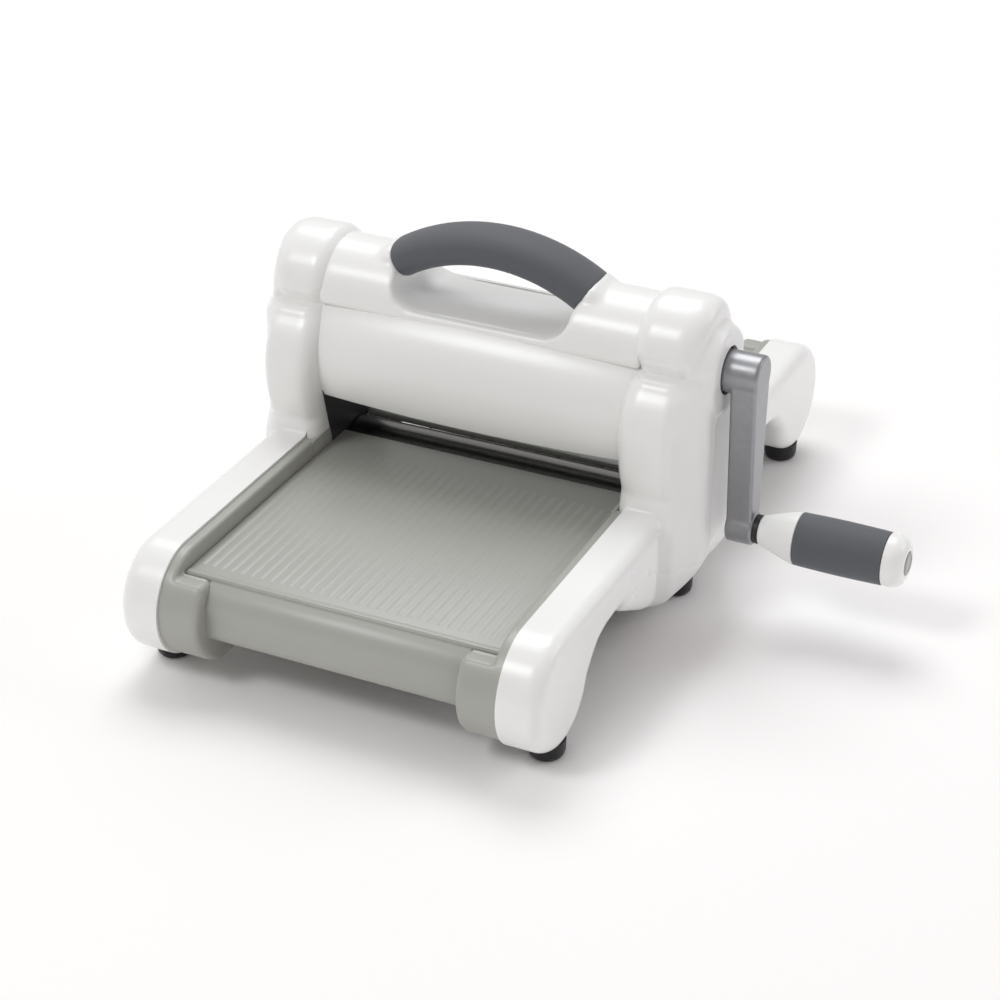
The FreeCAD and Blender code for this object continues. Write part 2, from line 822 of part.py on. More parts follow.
housing_span = (fit_gap - opening_half, opening_half - fit_gap)
housing_top = crown_top - size("housing_drop")
barrel_z = crank_z - size("barrel_drop")
finger_floor = crease_z + size("finger_floor_rise")
arch_z = crank_z - size("arch_drop")
arch_outer = size("arch_radius")
arch_inner = arch_outer - size("arch_height")


def housing_outline(inset, floor):
    """The upper housing's rounded side outline, drawn in by the inset."""
    half = size("housing_half") - inset
    return [
        (half - 2.5, floor), (half, floor + 10), (half - 1, housing_top - inset),
        (1 - half, housing_top - inset), (-half, floor + 10), (2.5 - half, floor),
    ]


def arch_sector(label, outer, inner, half_depth):
    """A bar bent to the handle's arch, about an axis that runs front to rear."""
    big = rod(label + "_outer", "Y", (0, -half_depth, arch_z), outer, half_depth * 2)
    small = rod(label + "_inner", "Y", (0, -half_depth - 1, arch_z), inner, half_depth * 2 + 2)
    return cut(label + "_ring", big, [small])


def wedge(label, half_depth):
    """The space within the grip's half angle above the centre of the arch."""
    reach = arch_outer + 20
    lean = math.sin(math.radians(SIZES["grip_half_angle"]))
    rise = math.cos(math.radians(SIZES["grip_half_angle"]))
    corners = [(0, arch_z), (reach * lean, arch_z + reach * rise), (-reach * lean, arch_z + reach * rise)]
    return slab(label, corners, (-half_depth - 5, half_depth + 5), role="XZ_Plane")


def upper_housing():
    """The white top shell between the tower sides, with the finger opening and the handle's core."""
    label = "upper_housing"
    half_depth = size("arch_half_depth")
    crown = size("arch_half_depth") - 2
    top = housing_top
    outer_rounds = [(size("housing_half") - 1, top, crown), (1 - size("housing_half"), top, crown)]
    lobe = slab(label + "_lobe", housing_outline(0, crease_z + fit_gap), housing_span, rounds=outer_rounds)
    above = block(label + "_above", (-opening_half, opening_half), (-half_depth - 2, half_depth + 2),
                  (crease_z + 20, arch_z + arch_outer + 5))
    ring_bar = arch_sector(label + "_arch", arch_outer, arch_inner, half_depth)
    bar_ends = common(label + "_bar", [ring_bar, above])
    stumps = cut(label + "_stumps", bar_ends, [wedge(label + "_gap", half_depth)])
    depth = size("housing_half") + 5
    reach = size("finger_half")
    opening = block(label + "_opening", (-reach, reach), (-depth, depth), (finger_floor, housing_top + 5))
    under_arch = rod(label + "_under_arch", "Y", (0, -depth, arch_z), arch_inner, depth * 2)
    over_arch = arch_sector(label + "_over_arch", arch_outer + 20, arch_outer, depth)
    window_z = (finger_floor, arch_z + arch_outer + 19)
    window = block(label + "_window", (-reach, reach), (-depth, depth), window_z)
    low_gap = common(label + "_low_gap", [opening, under_arch])
    high_gap = common(label + "_high_gap", [over_arch, window])
    corner_z = (finger_floor, housing_top + 25)
    corners = block(label + "_corners", (-reach, reach), (half_depth, depth), corner_z)
    corners_front = block(label + "_corners_front", (-reach, reach), (-depth, -half_depth), corner_z)
    grip_space = common(label + "_grip_space", [
        arch_sector(label + "_bar_space", arch_outer, arch_inner, depth), wedge(label + "_bar_gap", depth)])
    body = join(label + "_body", [
        cut(label + "_trimmed", lobe, [low_gap, high_gap, corners, corners_front, grip_space]), stumps])
    inset = size("core_inset")
    core = common(label + "_core", [
        arch_sector(label + "_core_bar", arch_outer - inset, arch_inner + inset, half_depth - inset),
        block(label + "_core_box", (-opening_half * 0.8, opening_half * 0.8), (-depth, depth),
              (crease_z + 18, arch_z + arch_outer + 5)),
    ])
    low = crease_z + fit_gap
    hollow_outline = housing_outline(wall, low - 1)
    hollows = [
        slab(f"{label}_hollow{k}", hollow_outline, span)
        for k, span in enumerate((
            (housing_span[0], -reach - wall), (reach + wall, housing_span[1])))
    ]
    under_x, under_y = reach + wall + 1, size("housing_half") - wall - 3
    under = block(label + "_under", (-under_x, under_x), (-under_y, under_y), (low - 1, finger_floor - wall))
    shell = cut(label + "_shell", body, hollows + [under])
    return node(join(label, [shell, core]), label)


def handle_grip():
    """The soft grey sleeve moulded round the core of the handle."""
    label = "handle_grip"
    half_depth = size("arch_half_depth")
    inset = size("core_inset")
    full = arch_sector(label + "_full", arch_outer, arch_inner, half_depth)
    bar = common(label + "_bar", [full, wedge(label + "_span", half_depth)])
    core = arch_sector(label + "_core", arch_outer - inset, arch_inner + inset, half_depth - inset)
    return node(cut(label, bar, [core]), label)


def barrel(label, inset):
    """A barrel about an X axis, fuller in the middle than at its ends."""
    body = doc.addObject("PartDesign::Body", label)
    half = opening_half - fit_gap
    end, middle = size("barrel_end_radius") - inset, size("barrel_mid_radius") - inset
    bulge = middle - end
    bow = (half * half + bulge * bulge) / (bulge * 2)
    sketch = body.newObject("Sketcher::SketchObject", label + "_outline")
    sketch.AttachmentSupport = (origin_plane(body, "XY_Plane"), "")
    sketch.MapMode = "FlatFace"
    ends = [Vector(-half.value, end.value, 0), Vector(half.value, end.value, 0)]
    feet = [Vector(half.value, 0, 0), Vector(-half.value, 0, 0)]
    sketch.addGeometry(Part.Arc(ends[1], Vector(0, middle.value, 0), ends[0]), False)
    sketch.addGeometry(Part.LineSegment(ends[1], feet[0]), False)
    sketch.addGeometry(Part.LineSegment(feet[0], feet[1]), False)
    sketch.addGeometry(Part.LineSegment(feet[1], ends[0]), False)
    joints = (((0, 1), (1, 1)), ((1, 2), (2, 1)), ((2, 2), (3, 1)), ((3, 2), (0, 2)))
    for first, second in joints:
        sketch.addConstraint(Sketcher.Constraint("Coincident", *first, *second))
    corners = (((1, 1), half, end), ((2, 1), half, 0), ((3, 1), -half, 0), ((3, 2), -half, end))
    for corner, a, b in corners:
        for kind, length in (("DistanceX", as_size(a)), ("DistanceY", as_size(b))):
            index = sketch.addConstraint(Sketcher.Constraint(kind, -1, 1, *corner, length.value))
            sketch.setExpression(f"Constraints[{index}]", length.text)
    index = sketch.addConstraint(Sketcher.Constraint("Radius", 0, bow.value))
    sketch.setExpression(f"Constraints[{index}]", bow.text)
    turn = body.newObject("PartDesign::Revolution", label + "_turn")
    turn.Profile = sketch
    turn.ReferenceAxis = (sketch, ["H_Axis"])
    turn.Angle = 360
    move(body, (0, 0, barrel_z))
    return body


def tower_panel(side, label):
    """The barrel-shaped white panel above the feed opening, in front (-1) or behind (1)."""
    shell = cut(label + "_shell", barrel(label + "_outer", 0), [barrel(label + "_inner", wall)])
    y_span = side_span(side, 4, size("barrel_mid_radius") + 1)
    z_span = (crank_z - size("panel_cut_drop"), crease_z + 20)
    window = block(label + "_window", (-opening_half, opening_half), y_span, z_span)
    lobe = slab(label + "_lobe", housing_outline(-fit_gap, crease_z), (-opening_half, opening_half))
    return node(cut(label, common(label + "_part", [shell, window]), [lobe]), label)


def tray(side, label):
    """The grey feed tray in front of (-1) or behind (1) the rollers, with ribs underneath."""
    y_span = side_span(side, roller_radius - size("tray_over_roller"), tray_front)
    half = opening_half - fit_gap
    plate = block(label + "_plate", (-half, half), y_span, (tray_under, tray_top))
    rib_span = side_span(side, roller_radius + 3, bulb_y - bulb_radius - 4)
    ribs = [
        block(f"{label}_rib{k}", (opening_half * share - 1, opening_half * share + 1), rib_span,
              (tray_under - 5, tray_under))
        for k, share in enumerate((-0.6, -0.3, 0, 0.3, 0.6))
    ]
    holes = [
        rod(f"{label}_hole{k}", "Z", (x, y, tray_under - 1), size("screw_radius"), 3)
        for k, (x, y) in enumerate(tray_screw_places(side))
    ]
    return node(cut(label, join(label + "_ribbed", [plate] + ribs), holes), label)


def tray_screw_places(side):
    """Where screws come up through the cheeks' ledges into the tray."""
    x = opening_half - 6
    return [(x * a, size(y) * side) for a in (1, -1) for y in ("tray_screw_near", "tray_screw_far")]


def nose_bar(side, label):
    """The hollow rounded bar across the end of the tray."""
    back = bulb_y + 1.3
    low = size("nose_bottom")
    inner = nose_front - wall
    outline = [
        (tray_front + fit_gap, tray_top), (nose_front, tray_top), (nose_front, low), (back, low),
        (back, low + wall), (inner, low + wall),
        (inner, tray_under - wall - 0.1), (back, tray_under - wall - 0.1),
        (back, tray_under - 0.1), (tray_front + fit_gap, tray_under - 0.1),
    ]
    outline = [(as_size(y) * side, z) for y, z in outline]
    half = opening_half - size("lobe_width") - fit_gap
    rounds = [
        (nose_front * side, tray_top, size("nose_top_round")),
        (nose_front * side, low, size("nose_low_round")),
    ]
    return node(slab(label, outline, (-half, half), rounds=rounds), label)


def cheek(side, end, label):
    """The grey inner wall beside the tray, the ledge it rests on and the round lobe at its end."""
    radius = bulb_radius - size("lobe_step")
    x_lobe = side_span(side, opening_half - size("lobe_width"), seam)
    x_wall = side_span(side, opening_half, seam)
    lobe = rod(label + "_lobe", "X", (x_lobe[0], bulb_y * end, bulb_z), radius, x_lobe[1] - x_lobe[0])
    wall_block = block(label + "_wall", x_wall, side_span(end, skirt_half + fit_gap, bulb_y),
                       (arm_low, bulb_z + radius))
    x_ledge = side_span(side, opening_half - 12, seam)
    ledge = block(label + "_ledge", x_ledge, side_span(end, skirt_half + 6, bulb_y - 10),
                  (tray_under - size("ledge_thickness"), tray_under))
    solid = join(label + "_solid", [lobe, wall_block, ledge])
    x_tray = side_span(side, 0, opening_half)
    over_tray = block(label + "_over_tray", x_tray, side_span(end, 0, bulb_y + bulb_radius + 1),
                      (tray_top, crown_top))
    tray_room = block(label + "_tray_room", x_tray, side_span(end, 0, tray_front + fit_gap),
                      (tray_under, crown_top))
    x_hollow = side_span(side, opening_half - size("lobe_width") + wall, seam)
    hollow = common(label + "_hollow", [
        rod(label + "_bore", "X", (x_hollow[0], bulb_y * end, bulb_z), radius - wall,
            x_hollow[1] - x_hollow[0]),
        block(label + "_bore_top", x_hollow, side_span(end, 0, bulb_y + bulb_radius),
              (0, tray_under - wall)),
    ])
    x_wall_hollow = side_span(side, opening_half + wall, seam)
    wall_hollow = block(label + "_wall_hollow", x_wall_hollow,
                        side_span(end, skirt_half + fit_gap + wall, bulb_y),
                        (arm_low + wall, bulb_z + radius - wall))
    flat = block(label + "_flat", x_lobe, side_span(end, 0, bulb_y + bulb_radius), (0, skirt_bottom))
    holes = [
        rod(f"{label}_hole{k}", "Z", (x, y, tray_under - 4), size("screw_radius"), 6)
        for k, (x, y) in enumerate(tray_screw_places(end))
    ]
    return node(cut(label, solid, [over_tray, tray_room, hollow, wall_hollow, flat] + holes), label)


def tray_screws():
    """The screws that hold the trays down on the ledges of the cheeks."""
    under = tray_under - size("ledge_thickness") - size("screw_head_height")
    screws = []
    for end in (-1, 1):
        for k, (x, y) in enumerate(tray_screw_places(end)):
            screws.append(screw(f"tray_screw_{end}_{k}", "Z", (x, y, under), 1, 4))
    node(group("tray_screws_group", screws), "tray_screws")


def bottom_pan():
    """The grey pan that closes the tower underneath, between the inner covers."""
    half = opening_half - fit_gap
    depth = skirt_half - 1
    pan = block("bottom_pan_block", (-half, half), (-depth, depth), (skirt_bottom + 1, skirt_bottom + 26))
    inside = block("bottom_pan_inside", (-half - 1, half + 1), (wall - depth, depth - wall),
                   (skirt_bottom + 1 + wall, skirt_bottom + 30))
    return node(cut("bottom_pan", pan, [inside]), "bottom_pan")


def feet():
    """Six round rubber feet, each stuck in a shallow well under a side cover."""
    radius = size("foot_radius") - 0.1
    height = skirt_bottom + size("foot_recess")
    outline = [
        (0, 0), (0, radius - 1.6), (1.2, radius - 0.4),
        (height - 2.5, radius), (height, radius), (height, 0),
    ]
    for side, word in ((1, "right"), (-1, "left")):
        for end, y in foot_places.items():
            node(turned(f"{end}_{word}_foot", outline, "Z", (foot_x * side, y, 0)), f"{end}_{word}_foot")


# The upper gear has a tooth straight down; its two partners have their gaps and teeth to match.
straight_down = -math.pi / 2
half_step = math.pi / round(SIZES["gear_teeth"])
upper_gear_odd = round(SIZES["gear_teeth"]) % 2 == 1
pinion_phase = straight_down + (0 if upper_gear_odd else math.pi / round(SIZES["pinion_teeth"]))

hub_in = boss_out - size("hub_well_depth") + 1
bar_in = boss_out + size("arm_start")
bar_out = bar_in + size("arm_bar_width")
eye_z = crank_z - size("crank_reach")
eye_out = bar_out + 0.5


def crank_arm():
    """The cast arm: hub on the shaft, tapering bar and the eye that carries the grip."""
    hub = rod("crank_hub", "X", (hub_in, 0, crank_z), size("hub_radius"), bar_out - hub_in)
    eye = rod("crank_eye", "X", (bar_in, 0, eye_z), size("crank_eye_radius"), eye_out - bar_in)
    top, low = size("arm_top_half"), size("arm_low_half")
    taper = [(-top, crank_z), (-low, eye_z), (low, eye_z), (top, crank_z)]
    bar = slab("crank_bar", taper, (bar_in, bar_out))
    casting = join("crank_casting", [hub, eye, bar])
    grub_radius = size("screw_radius") + 1
    holes = [
        rod("crank_shaft_hole", "X", (hub_in - 1, 0, crank_z), size("shaft_radius"), bar_out - hub_in - 2),
        rod("crank_spindle_hole", "X", (bar_in + 2, 0, eye_z), size("spindle_radius"), eye_out - bar_in),
        rod("crank_grub_hole", "Y", (bar_in + 5, 0, crank_z), grub_radius, size("hub_radius") + 1),
    ]
    node(cut("crank_arm", casting, holes), "crank_arm")
    grub_end = size("hub_radius") - 0.8
    grub = [
        (size("shaft_radius"), 0), (size("shaft_radius"), grub_radius),
        (grub_end, grub_radius), (grub_end, 0),
    ]
    node(turned("crank_grub_screw", grub, "Y", (bar_in + 5, 0, crank_z)), "crank_grub_screw")


def crank_shaft():
    """The crank shaft with its pinion, key and inner retaining ring."""
    radius = size("shaft_radius")
    inner_end = opening_half + wall + 0.6
    ring_at = plate_in - 1.4 - size("ring_width")
    low = radius - size("ring_depth")
    outline = [
        (inner_end, 0), (inner_end, radius), (ring_at, radius), (ring_at, low),
        (ring_at + size("ring_width"), low), (ring_at + size("ring_width"), radius),
        (bar_out - 3, radius), (bar_out - 3, 0),
    ]
    shaft = turned("crank_shaft_turned", outline, "X", (0, 0, crank_z))
    node(cut("crank_shaft", shaft, [keyway("crank_shaft", crank_z, radius)]), "crank_shaft")
    gear("crank_pinion", size("pinion_teeth"), pinion_tip, pinion_root, crank_z, radius, pinion_phase)
    key("pinion_key", crank_z, radius)
    node(ring("crank_shaft_ring", (0, 0, crank_z), ring_at, radius), "crank_shaft_ring")


def grip():
    """The turning hand grip on its shoulder bolt."""
    place = (0, 0, eye_z)
    washer_out = eye_out + 2.2
    start = washer_out + fit_gap
    neck_out = start + size("collar_length")
    sleeve_out = neck_out + size("sleeve_length")
    cap_out = sleeve_out + size("cap_length")
    spindle = size("spindle_radius")
    head_in = sleeve_out + fit_gap
    node(turned("grip_spindle", [
        (bar_in + 2, 0), (bar_in + 2, spindle), (head_in, spindle), (head_in, spindle + 2.5),
        (head_in + 3.5, spindle + 2.5), (head_in + 3.5, 0),
    ], "X", place), "grip_spindle")
    node(turned("grip_washer", [
        (eye_out, spindle), (eye_out, 7), (washer_out, 7), (washer_out, spindle),
    ], "X", place), "grip_washer")
    bore = spindle + size("running_gap")
    core = size("core_radius")
    radius = size("grip_radius")
    node(turned("grip_core", [
        (start, bore), (start, size("grip_neck_radius")), (neck_out - 2, radius), (neck_out, radius),
        (neck_out, core), (sleeve_out, core), (sleeve_out, bore),
    ], "X", place), "grip_core")
    node(turned("grip_sleeve", [
        (neck_out, core), (neck_out, radius - 0.6), (neck_out + 0.6, radius), (sleeve_out - 0.6, radius),
        (sleeve_out, radius - 0.6), (sleeve_out, core),
    ], "X", place), "grip_sleeve")
    pocket = spindle + 3.3
    plug_in = cap_out - 4
    node(turned("grip_cap", [
        (sleeve_out, pocket), (sleeve_out, radius), (cap_out - 6, radius - 0.4),
        (cap_out - 2.2, radius - 2.2), (cap_out, radius - 5), (cap_out, pocket),
    ], "X", place), "grip_cap")
    plug_radius = pocket - 0.05
    node(turned("grip_plug", [
        (plug_in, 0), (plug_in, plug_radius), (cap_out + 0.3, plug_radius),
        (cap_out + 0.6, pocket - 1.5), (cap_out + 0.6, 0),
    ], "X", place), "grip_plug")


for side, word in ((1, "right"), (-1, "left")):
    side_cover(side, f"{word}_side_cover")
    inner_cover(side, f"{word}_inner_cover")
    side_plate(side, f"{word}_side_plate")
    for end, place in ((-1, "front"), (1, "rear")):
        cheek(side, end, f"{place}_{word}_cheek")
tie_rods()
frame_screws()
bushes()
roller("upper", upper_z, straight_down)
roller("lower", lower_z, -straight_down + half_step)
upper_housing()
handle_grip()
for end, place in ((-1, "front"), (1, "rear")):
    tower_panel(end, f"{place}_panel")
    tray(end, f"{place}_tray")
    nose_bar(end, f"{place}_nose_bar")
tray_screws()
bottom_pan()
feet()
crank_arm()
crank_shaft()
grip()
doc.recompute()

for item in doc.Objects:
    if "Invalid" in item.State or "Error" in item.State:
        raise ValueError(f"{item.Label} did not compute: {item.State}")
os.makedirs("parts", exist_ok=True)
for piece in nodes:
    if piece.Shape.isNull() or not piece.Shape.isValid():
        raise ValueError(f"{piece.Label} has no valid shape")
    piece.Shape.exportStep(f"parts/{piece.Label}.step")
    print(f"{piece.Label}: {len(piece.Shape.Solids)} solid(s), {piece.Shape.Volume / 1000:.2f} cm3")
print(f"{len(nodes)} nodes; nip {2 * (gear_pitch.value - roller_radius.value):.1f} mm")
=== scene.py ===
import json
import math

import bpy
from mathutils import Matrix, Vector


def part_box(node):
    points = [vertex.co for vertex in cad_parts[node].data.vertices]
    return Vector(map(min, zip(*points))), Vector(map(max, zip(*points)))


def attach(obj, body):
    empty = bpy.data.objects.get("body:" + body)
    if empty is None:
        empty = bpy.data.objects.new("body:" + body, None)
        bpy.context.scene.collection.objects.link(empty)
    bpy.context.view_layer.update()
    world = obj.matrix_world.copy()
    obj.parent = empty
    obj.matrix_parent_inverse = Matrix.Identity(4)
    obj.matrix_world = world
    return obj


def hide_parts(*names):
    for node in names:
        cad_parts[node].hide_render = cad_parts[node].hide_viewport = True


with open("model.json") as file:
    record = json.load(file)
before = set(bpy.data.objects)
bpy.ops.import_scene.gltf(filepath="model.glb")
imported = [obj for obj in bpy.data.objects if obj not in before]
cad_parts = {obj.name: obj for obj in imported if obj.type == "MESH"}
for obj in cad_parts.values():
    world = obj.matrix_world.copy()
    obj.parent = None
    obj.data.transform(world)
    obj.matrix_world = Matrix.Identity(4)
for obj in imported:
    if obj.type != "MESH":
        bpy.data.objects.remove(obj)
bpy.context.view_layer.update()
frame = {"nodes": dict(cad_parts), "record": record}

# ---------------------------------------------------------------------------------------------
# Side covers and inner covers: each side of the machine is one glossy white moulding in two
# halves that meet at a fine seam. The outer half carries the tower side, both arms and both
# round ends; the inner half closes the tower towards the rollers. ABS, injection moulded.
# ---------------------------------------------------------------------------------------------
mm = 0.001
crank_axis_z = 124.5 * mm
upper_axis_z = 88.5 * mm
lower_axis_z = 38.5 * mm
opening_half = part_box("right_inner_cover")[0].x
seam_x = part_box("right_side_cover")[0].x
arm_in = 72.0 * mm
arm_out = 105.0 * mm
arm_soft = 6.5 * mm
pod_out = 110.0 * mm
pod_soft = 8.0 * mm
boss_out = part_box("right_side_cover")[1].x
skirt_z = 8.0 * mm
bulb_y = 152.7 * mm
bulb_z = 35.6 * mm
bulb_radius = 28.3 * mm
arm_top = bulb_z + bulb_radius
crown_radius = 28.0 * mm
crown_z = 130.5 * mm
ledge_y = 26.2 * mm
ledge_z = 128.2 * mm
undercut = 4.6 * mm
undercut_rise = 9.0 * mm
undercut_drop = 1.5 * mm
cove_half = 14.0 * mm
cove_depth = 4.6 * mm
shoulder_cut = 3.0 * mm
furrow_y = 44.5 * mm
furrow_half = 4.5 * mm
furrow_depth = 3.2 * mm
tuck_top = 36.0 * mm
tuck_height = 28.0 * mm
tuck_depth = 9.0 * mm
tuck_narrowing = 0.16
crank_bore = 11.7 * mm
roller_bore = 11.0 * mm
shell_wall = 2.2 * mm
shell_grain = 1.25 * mm
shell_passes = 4
WHITE = (0.90, 0.90, 0.888)


def arc(centre, radius, start, end, steps):
    """Points (y, z) round an arc, from one angle to another in degrees; 0 points to +y."""
    angles = [math.radians(start + (end - start) * i / steps) for i in range(steps + 1)]
    return [(centre[0] + radius * math.cos(a), centre[1] + radius * math.sin(a)) for a in angles]


def take_up(piece):
    """Select one piece alone and make it the active one."""
    bpy.ops.object.select_all(action="DESELECT")
    piece.select_set(True)
    bpy.context.view_layer.objects.active = piece


def drawn_line(name, places):
    """Draw a line through places, from a point pulled along it, and stay in edit mode."""
    bpy.ops.object.select_all(action="DESELECT")
    bpy.ops.mesh.primitive_plane_add(size=mm)
    line = bpy.context.object
    line.name = name
    bpy.ops.object.mode_set(mode="EDIT")
    bpy.ops.mesh.select_all(action="SELECT")
    bpy.ops.mesh.merge(type="CENTER")
    bpy.ops.transform.translate(value=places[0])
    for here, there in zip(places, places[1:]):
        bpy.ops.mesh.extrude_region_move(TRANSFORM_OT_translate={"value": there - here})
    bpy.ops.mesh.select_all(action="SELECT")
    return line


def soften(piece, width, steps, degrees, clamped=True):
    """Round every edge that turns by more than an angle."""
    bpy.context.view_layer.objects.active = piece
    edge = piece.modifiers.new("edge", "BEVEL")
    edge.width = width
    edge.segments = steps
    edge.limit_method = "ANGLE"
    edge.angle_limit = math.radians(degrees)
    edge.use_clamp_overlap = clamped
    bpy.ops.object.modifier_apply(modifier="edge")


def drawn_slab(name, outline, x_from, x_to, soft_edge=0.0, soft_steps=6):
    """Draw an outline of (y, z) points, fill it, push it across in X and round its two rims."""
    slab = drawn_line(name, [Vector((x_from, y, z)) for y, z in outline])
    bpy.ops.mesh.edge_face_add()
    bpy.ops.mesh.extrude_region_move(TRANSFORM_OT_translate={"value": (x_to - x_from, 0, 0)})
    bpy.ops.mesh.select_all(action="SELECT")
    bpy.ops.mesh.normals_make_consistent(inside=False)
    bpy.ops.object.mode_set(mode="OBJECT")
    if soft_edge:
        soften(slab, soft_edge, soft_steps, 60, clamped=False)
    return slab


def joined(name, parts):
    """Make parts into one object, under a new name."""
    bpy.ops.object.select_all(action="DESELECT")
    for part in parts:
        part.select_set(True)
    bpy.context.view_layer.objects.active = parts[0]
    if len(parts) > 1:
        bpy.ops.object.join()
    piece = bpy.context.object
    piece.name = name
    return piece


def moulded(name, parts, grain, passes):
    """Join overlapping closed parts into one skin of even faces, and relax it so that corners flow."""
    piece = joined(name, parts)
    skin = piece.modifiers.new("skin", "REMESH")
    skin.mode = "VOXEL"
    skin.voxel_size = grain
    skin.use_smooth_shade = True
    bpy.ops.object.modifier_apply(modifier="skin")
    relax = piece.modifiers.new("relax", "SMOOTH")
    relax.factor = 0.5
    relax.iterations = passes
    bpy.ops.object.modifier_apply(modifier="relax")
    return piece


def trim(piece, point, normal):
    """Cut away what lies behind a plane."""
    take_up(piece)
    bpy.ops.object.mode_set(mode="EDIT")
    bpy.ops.mesh.select_all(action="SELECT")
    bpy.ops.mesh.bisect(plane_co=point, plane_no=normal, clear_inner=True)
    bpy.ops.object.mode_set(mode="OBJECT")


def thicken(piece, wall):
    """Give an open skin its wall, growing inwards."""
    take_up(piece)
    shell = piece.modifiers.new("wall", "SOLIDIFY")
    shell.thickness = wall
    shell.offset = -1
    bpy.ops.object.modifier_apply(modifier="wall")


def cut_away(piece, cutter):
    """Take a cutter's shape out of a piece, and put the cutter away."""
    hole = piece.modifiers.new("hole", "BOOLEAN")
    hole.operation = "DIFFERENCE"
    hole.solver = "EXACT"
    hole.object = cutter
    bpy.context.view_layer.objects.active = piece
    bpy.ops.object.modifier_apply(modifier="hole")
    bpy.data.objects.remove(cutter)


def bore(piece, centre, radius, length):
    """Take a round hole out of a piece, along X."""
    bpy.ops.object.select_all(action="DESELECT")
    bpy.ops.mesh.primitive_cylinder_add(
        vertices=96, radius=radius, depth=length, location=centre, rotation=(0, math.pi / 2, 0))
    cut_away(piece, bpy.context.object)


def second_copy(piece, name):
    """The same piece again, with its own mesh."""
    take_up(piece)
    bpy.ops.object.duplicate()
    twin = bpy.context.object
    twin.name = name
    return twin


def turned_over(piece, across_x=True, across_y=False):
    """Mirror a piece to the other side of the machine."""
    turn_over = Matrix.Diagonal((-1 if across_x else 1, -1 if across_y else 1, 1, 1))
    piece.data.transform(turn_over)
    if turn_over.determinant() < 0:
        piece.data.flip_normals()
    return piece


def opposite(piece, name, across_x=True, across_y=False):
    """A copy of a piece for the other side of the machine."""
    return turned_over(second_copy(piece, name), across_x, across_y)


def ramp(length, start, end):
    """0 up to the start, 1 past the end and an even S between; start and end are in millimetres."""
    share = min(max((length / mm - start) / (end - start), 0.0), 1.0)
    return share * share * (3 - 2 * share)


def tower_half():
    """The tower's side outline from the top down to the skirt, as (y, z)."""
    crown = arc((0, crown_z), crown_radius, 90, 2, 14)
    crease = [(ledge_y, ledge_z)]
    chest = arc((8.0 * mm, 97.0 * mm), 36.8 * mm, 52, 0, 8)
    belly = arc((-19.2 * mm, 97.0 * mm), 64.0 * mm, -4, -24, 4)
    skirt = [(40.6 * mm, 66.0 * mm), (42.6 * mm, 58.0 * mm), (42.4 * mm, skirt_z)]
    return crown + crease + chest + belly + skirt


def both_halves(half):
    """A symmetrical outline from its +y half."""
    return half + [(-y, z) for y, z in reversed(half) if y > 0.01 * mm]


def arm_outline(end):
    """One arm with its round end and its gusset; end is -1 for the front and 1 for the rear."""
    bulb = arc((-bulb_y, bulb_z), bulb_radius, 90, 345, 40)
    underside = [(-119, 35), (-114.5, 38.8), (-107, 41), (-97, 42), (-88, 41.6), (-84.5, 39), (-82, 35.2)]
    gusset = [(-62, 24.4), (-44, 14.2), (-42, 12.2), (-30, 12)]
    low = [(y * mm, z * mm) for y, z in underside + gusset]
    return [(-y * end, z) for y, z in [(-30 * mm, arm_top)] + bulb + low]


def face_rise(y, z, fullness):
    """How far the tower's outer face stands out from its flat: crowned, with a cove under the hub."""
    crown_edge = 39 - 11 * ramp(z, 120, 134)
    crown = (7.0 - 4.2 * ramp(z, 124, 140)) * mm
    crown *= ramp(abs(y), crown_edge, crown_edge - 21) * ramp(z, 4, 38)
    cove = cove_depth * max(1 - (y / cove_half) ** 2, 0.0) ** 1.5 * ramp(z, 10, 44) * ramp(z, 108, 98)
    shoulder = shoulder_cut * ramp(abs(y), 24, 38) * ramp(z, 60, 78) * ramp(z, 126, 114)
    return fullness * (crown - cove) - shoulder


def pinch_crease(piece):
    """Undercut the crown above the chest, so that the chest starts with a sharp ledge."""
    for vertex in piece.data.vertices:
        x, y, z = vertex.co
        reach = undercut_rise if z > ledge_z else undercut_drop
        near = max(1 - abs(z - ledge_z) / reach, 0.0)
        if abs(y) > ledge_y / 2:
            vertex.co.y -= math.copysign(undercut * near * ramp(x, 109, 104), y)


def sculpt_outer_face(piece, fullness, with_boss):
    """Crown the tower's outer face, raise the boss round the crank and tuck the skirt's foot in."""
    for vertex in piece.data.vertices:
        x, y, z = vertex.co
        if abs(y) < 46 * mm:
            boss = 1 - ramp(math.hypot(y, z - crank_axis_z), 19, 24.5) if with_boss else 0.0
            rise = face_rise(y, z, fullness) * (1 - boss) + (boss_out - pod_out) * boss
            vertex.co.x += rise * ramp(x, 101, 109)
        furrow = furrow_depth * max(1 - ((abs(y) - furrow_y) / furrow_half) ** 2, 0.0)
        vertex.co.x -= furrow * ramp(z, 14, 28) * ramp(z, 64, 54) * ramp(x, 97, 103)
        if x > seam_x:
            tuck = (max(tuck_top - z, 0.0) / tuck_height) ** 2 * ramp(abs(y), 62, 44) * ramp(x, 88, 108)
            vertex.co.x -= tuck_depth * tuck
            vertex.co.y *= 1 - tuck_narrowing * tuck


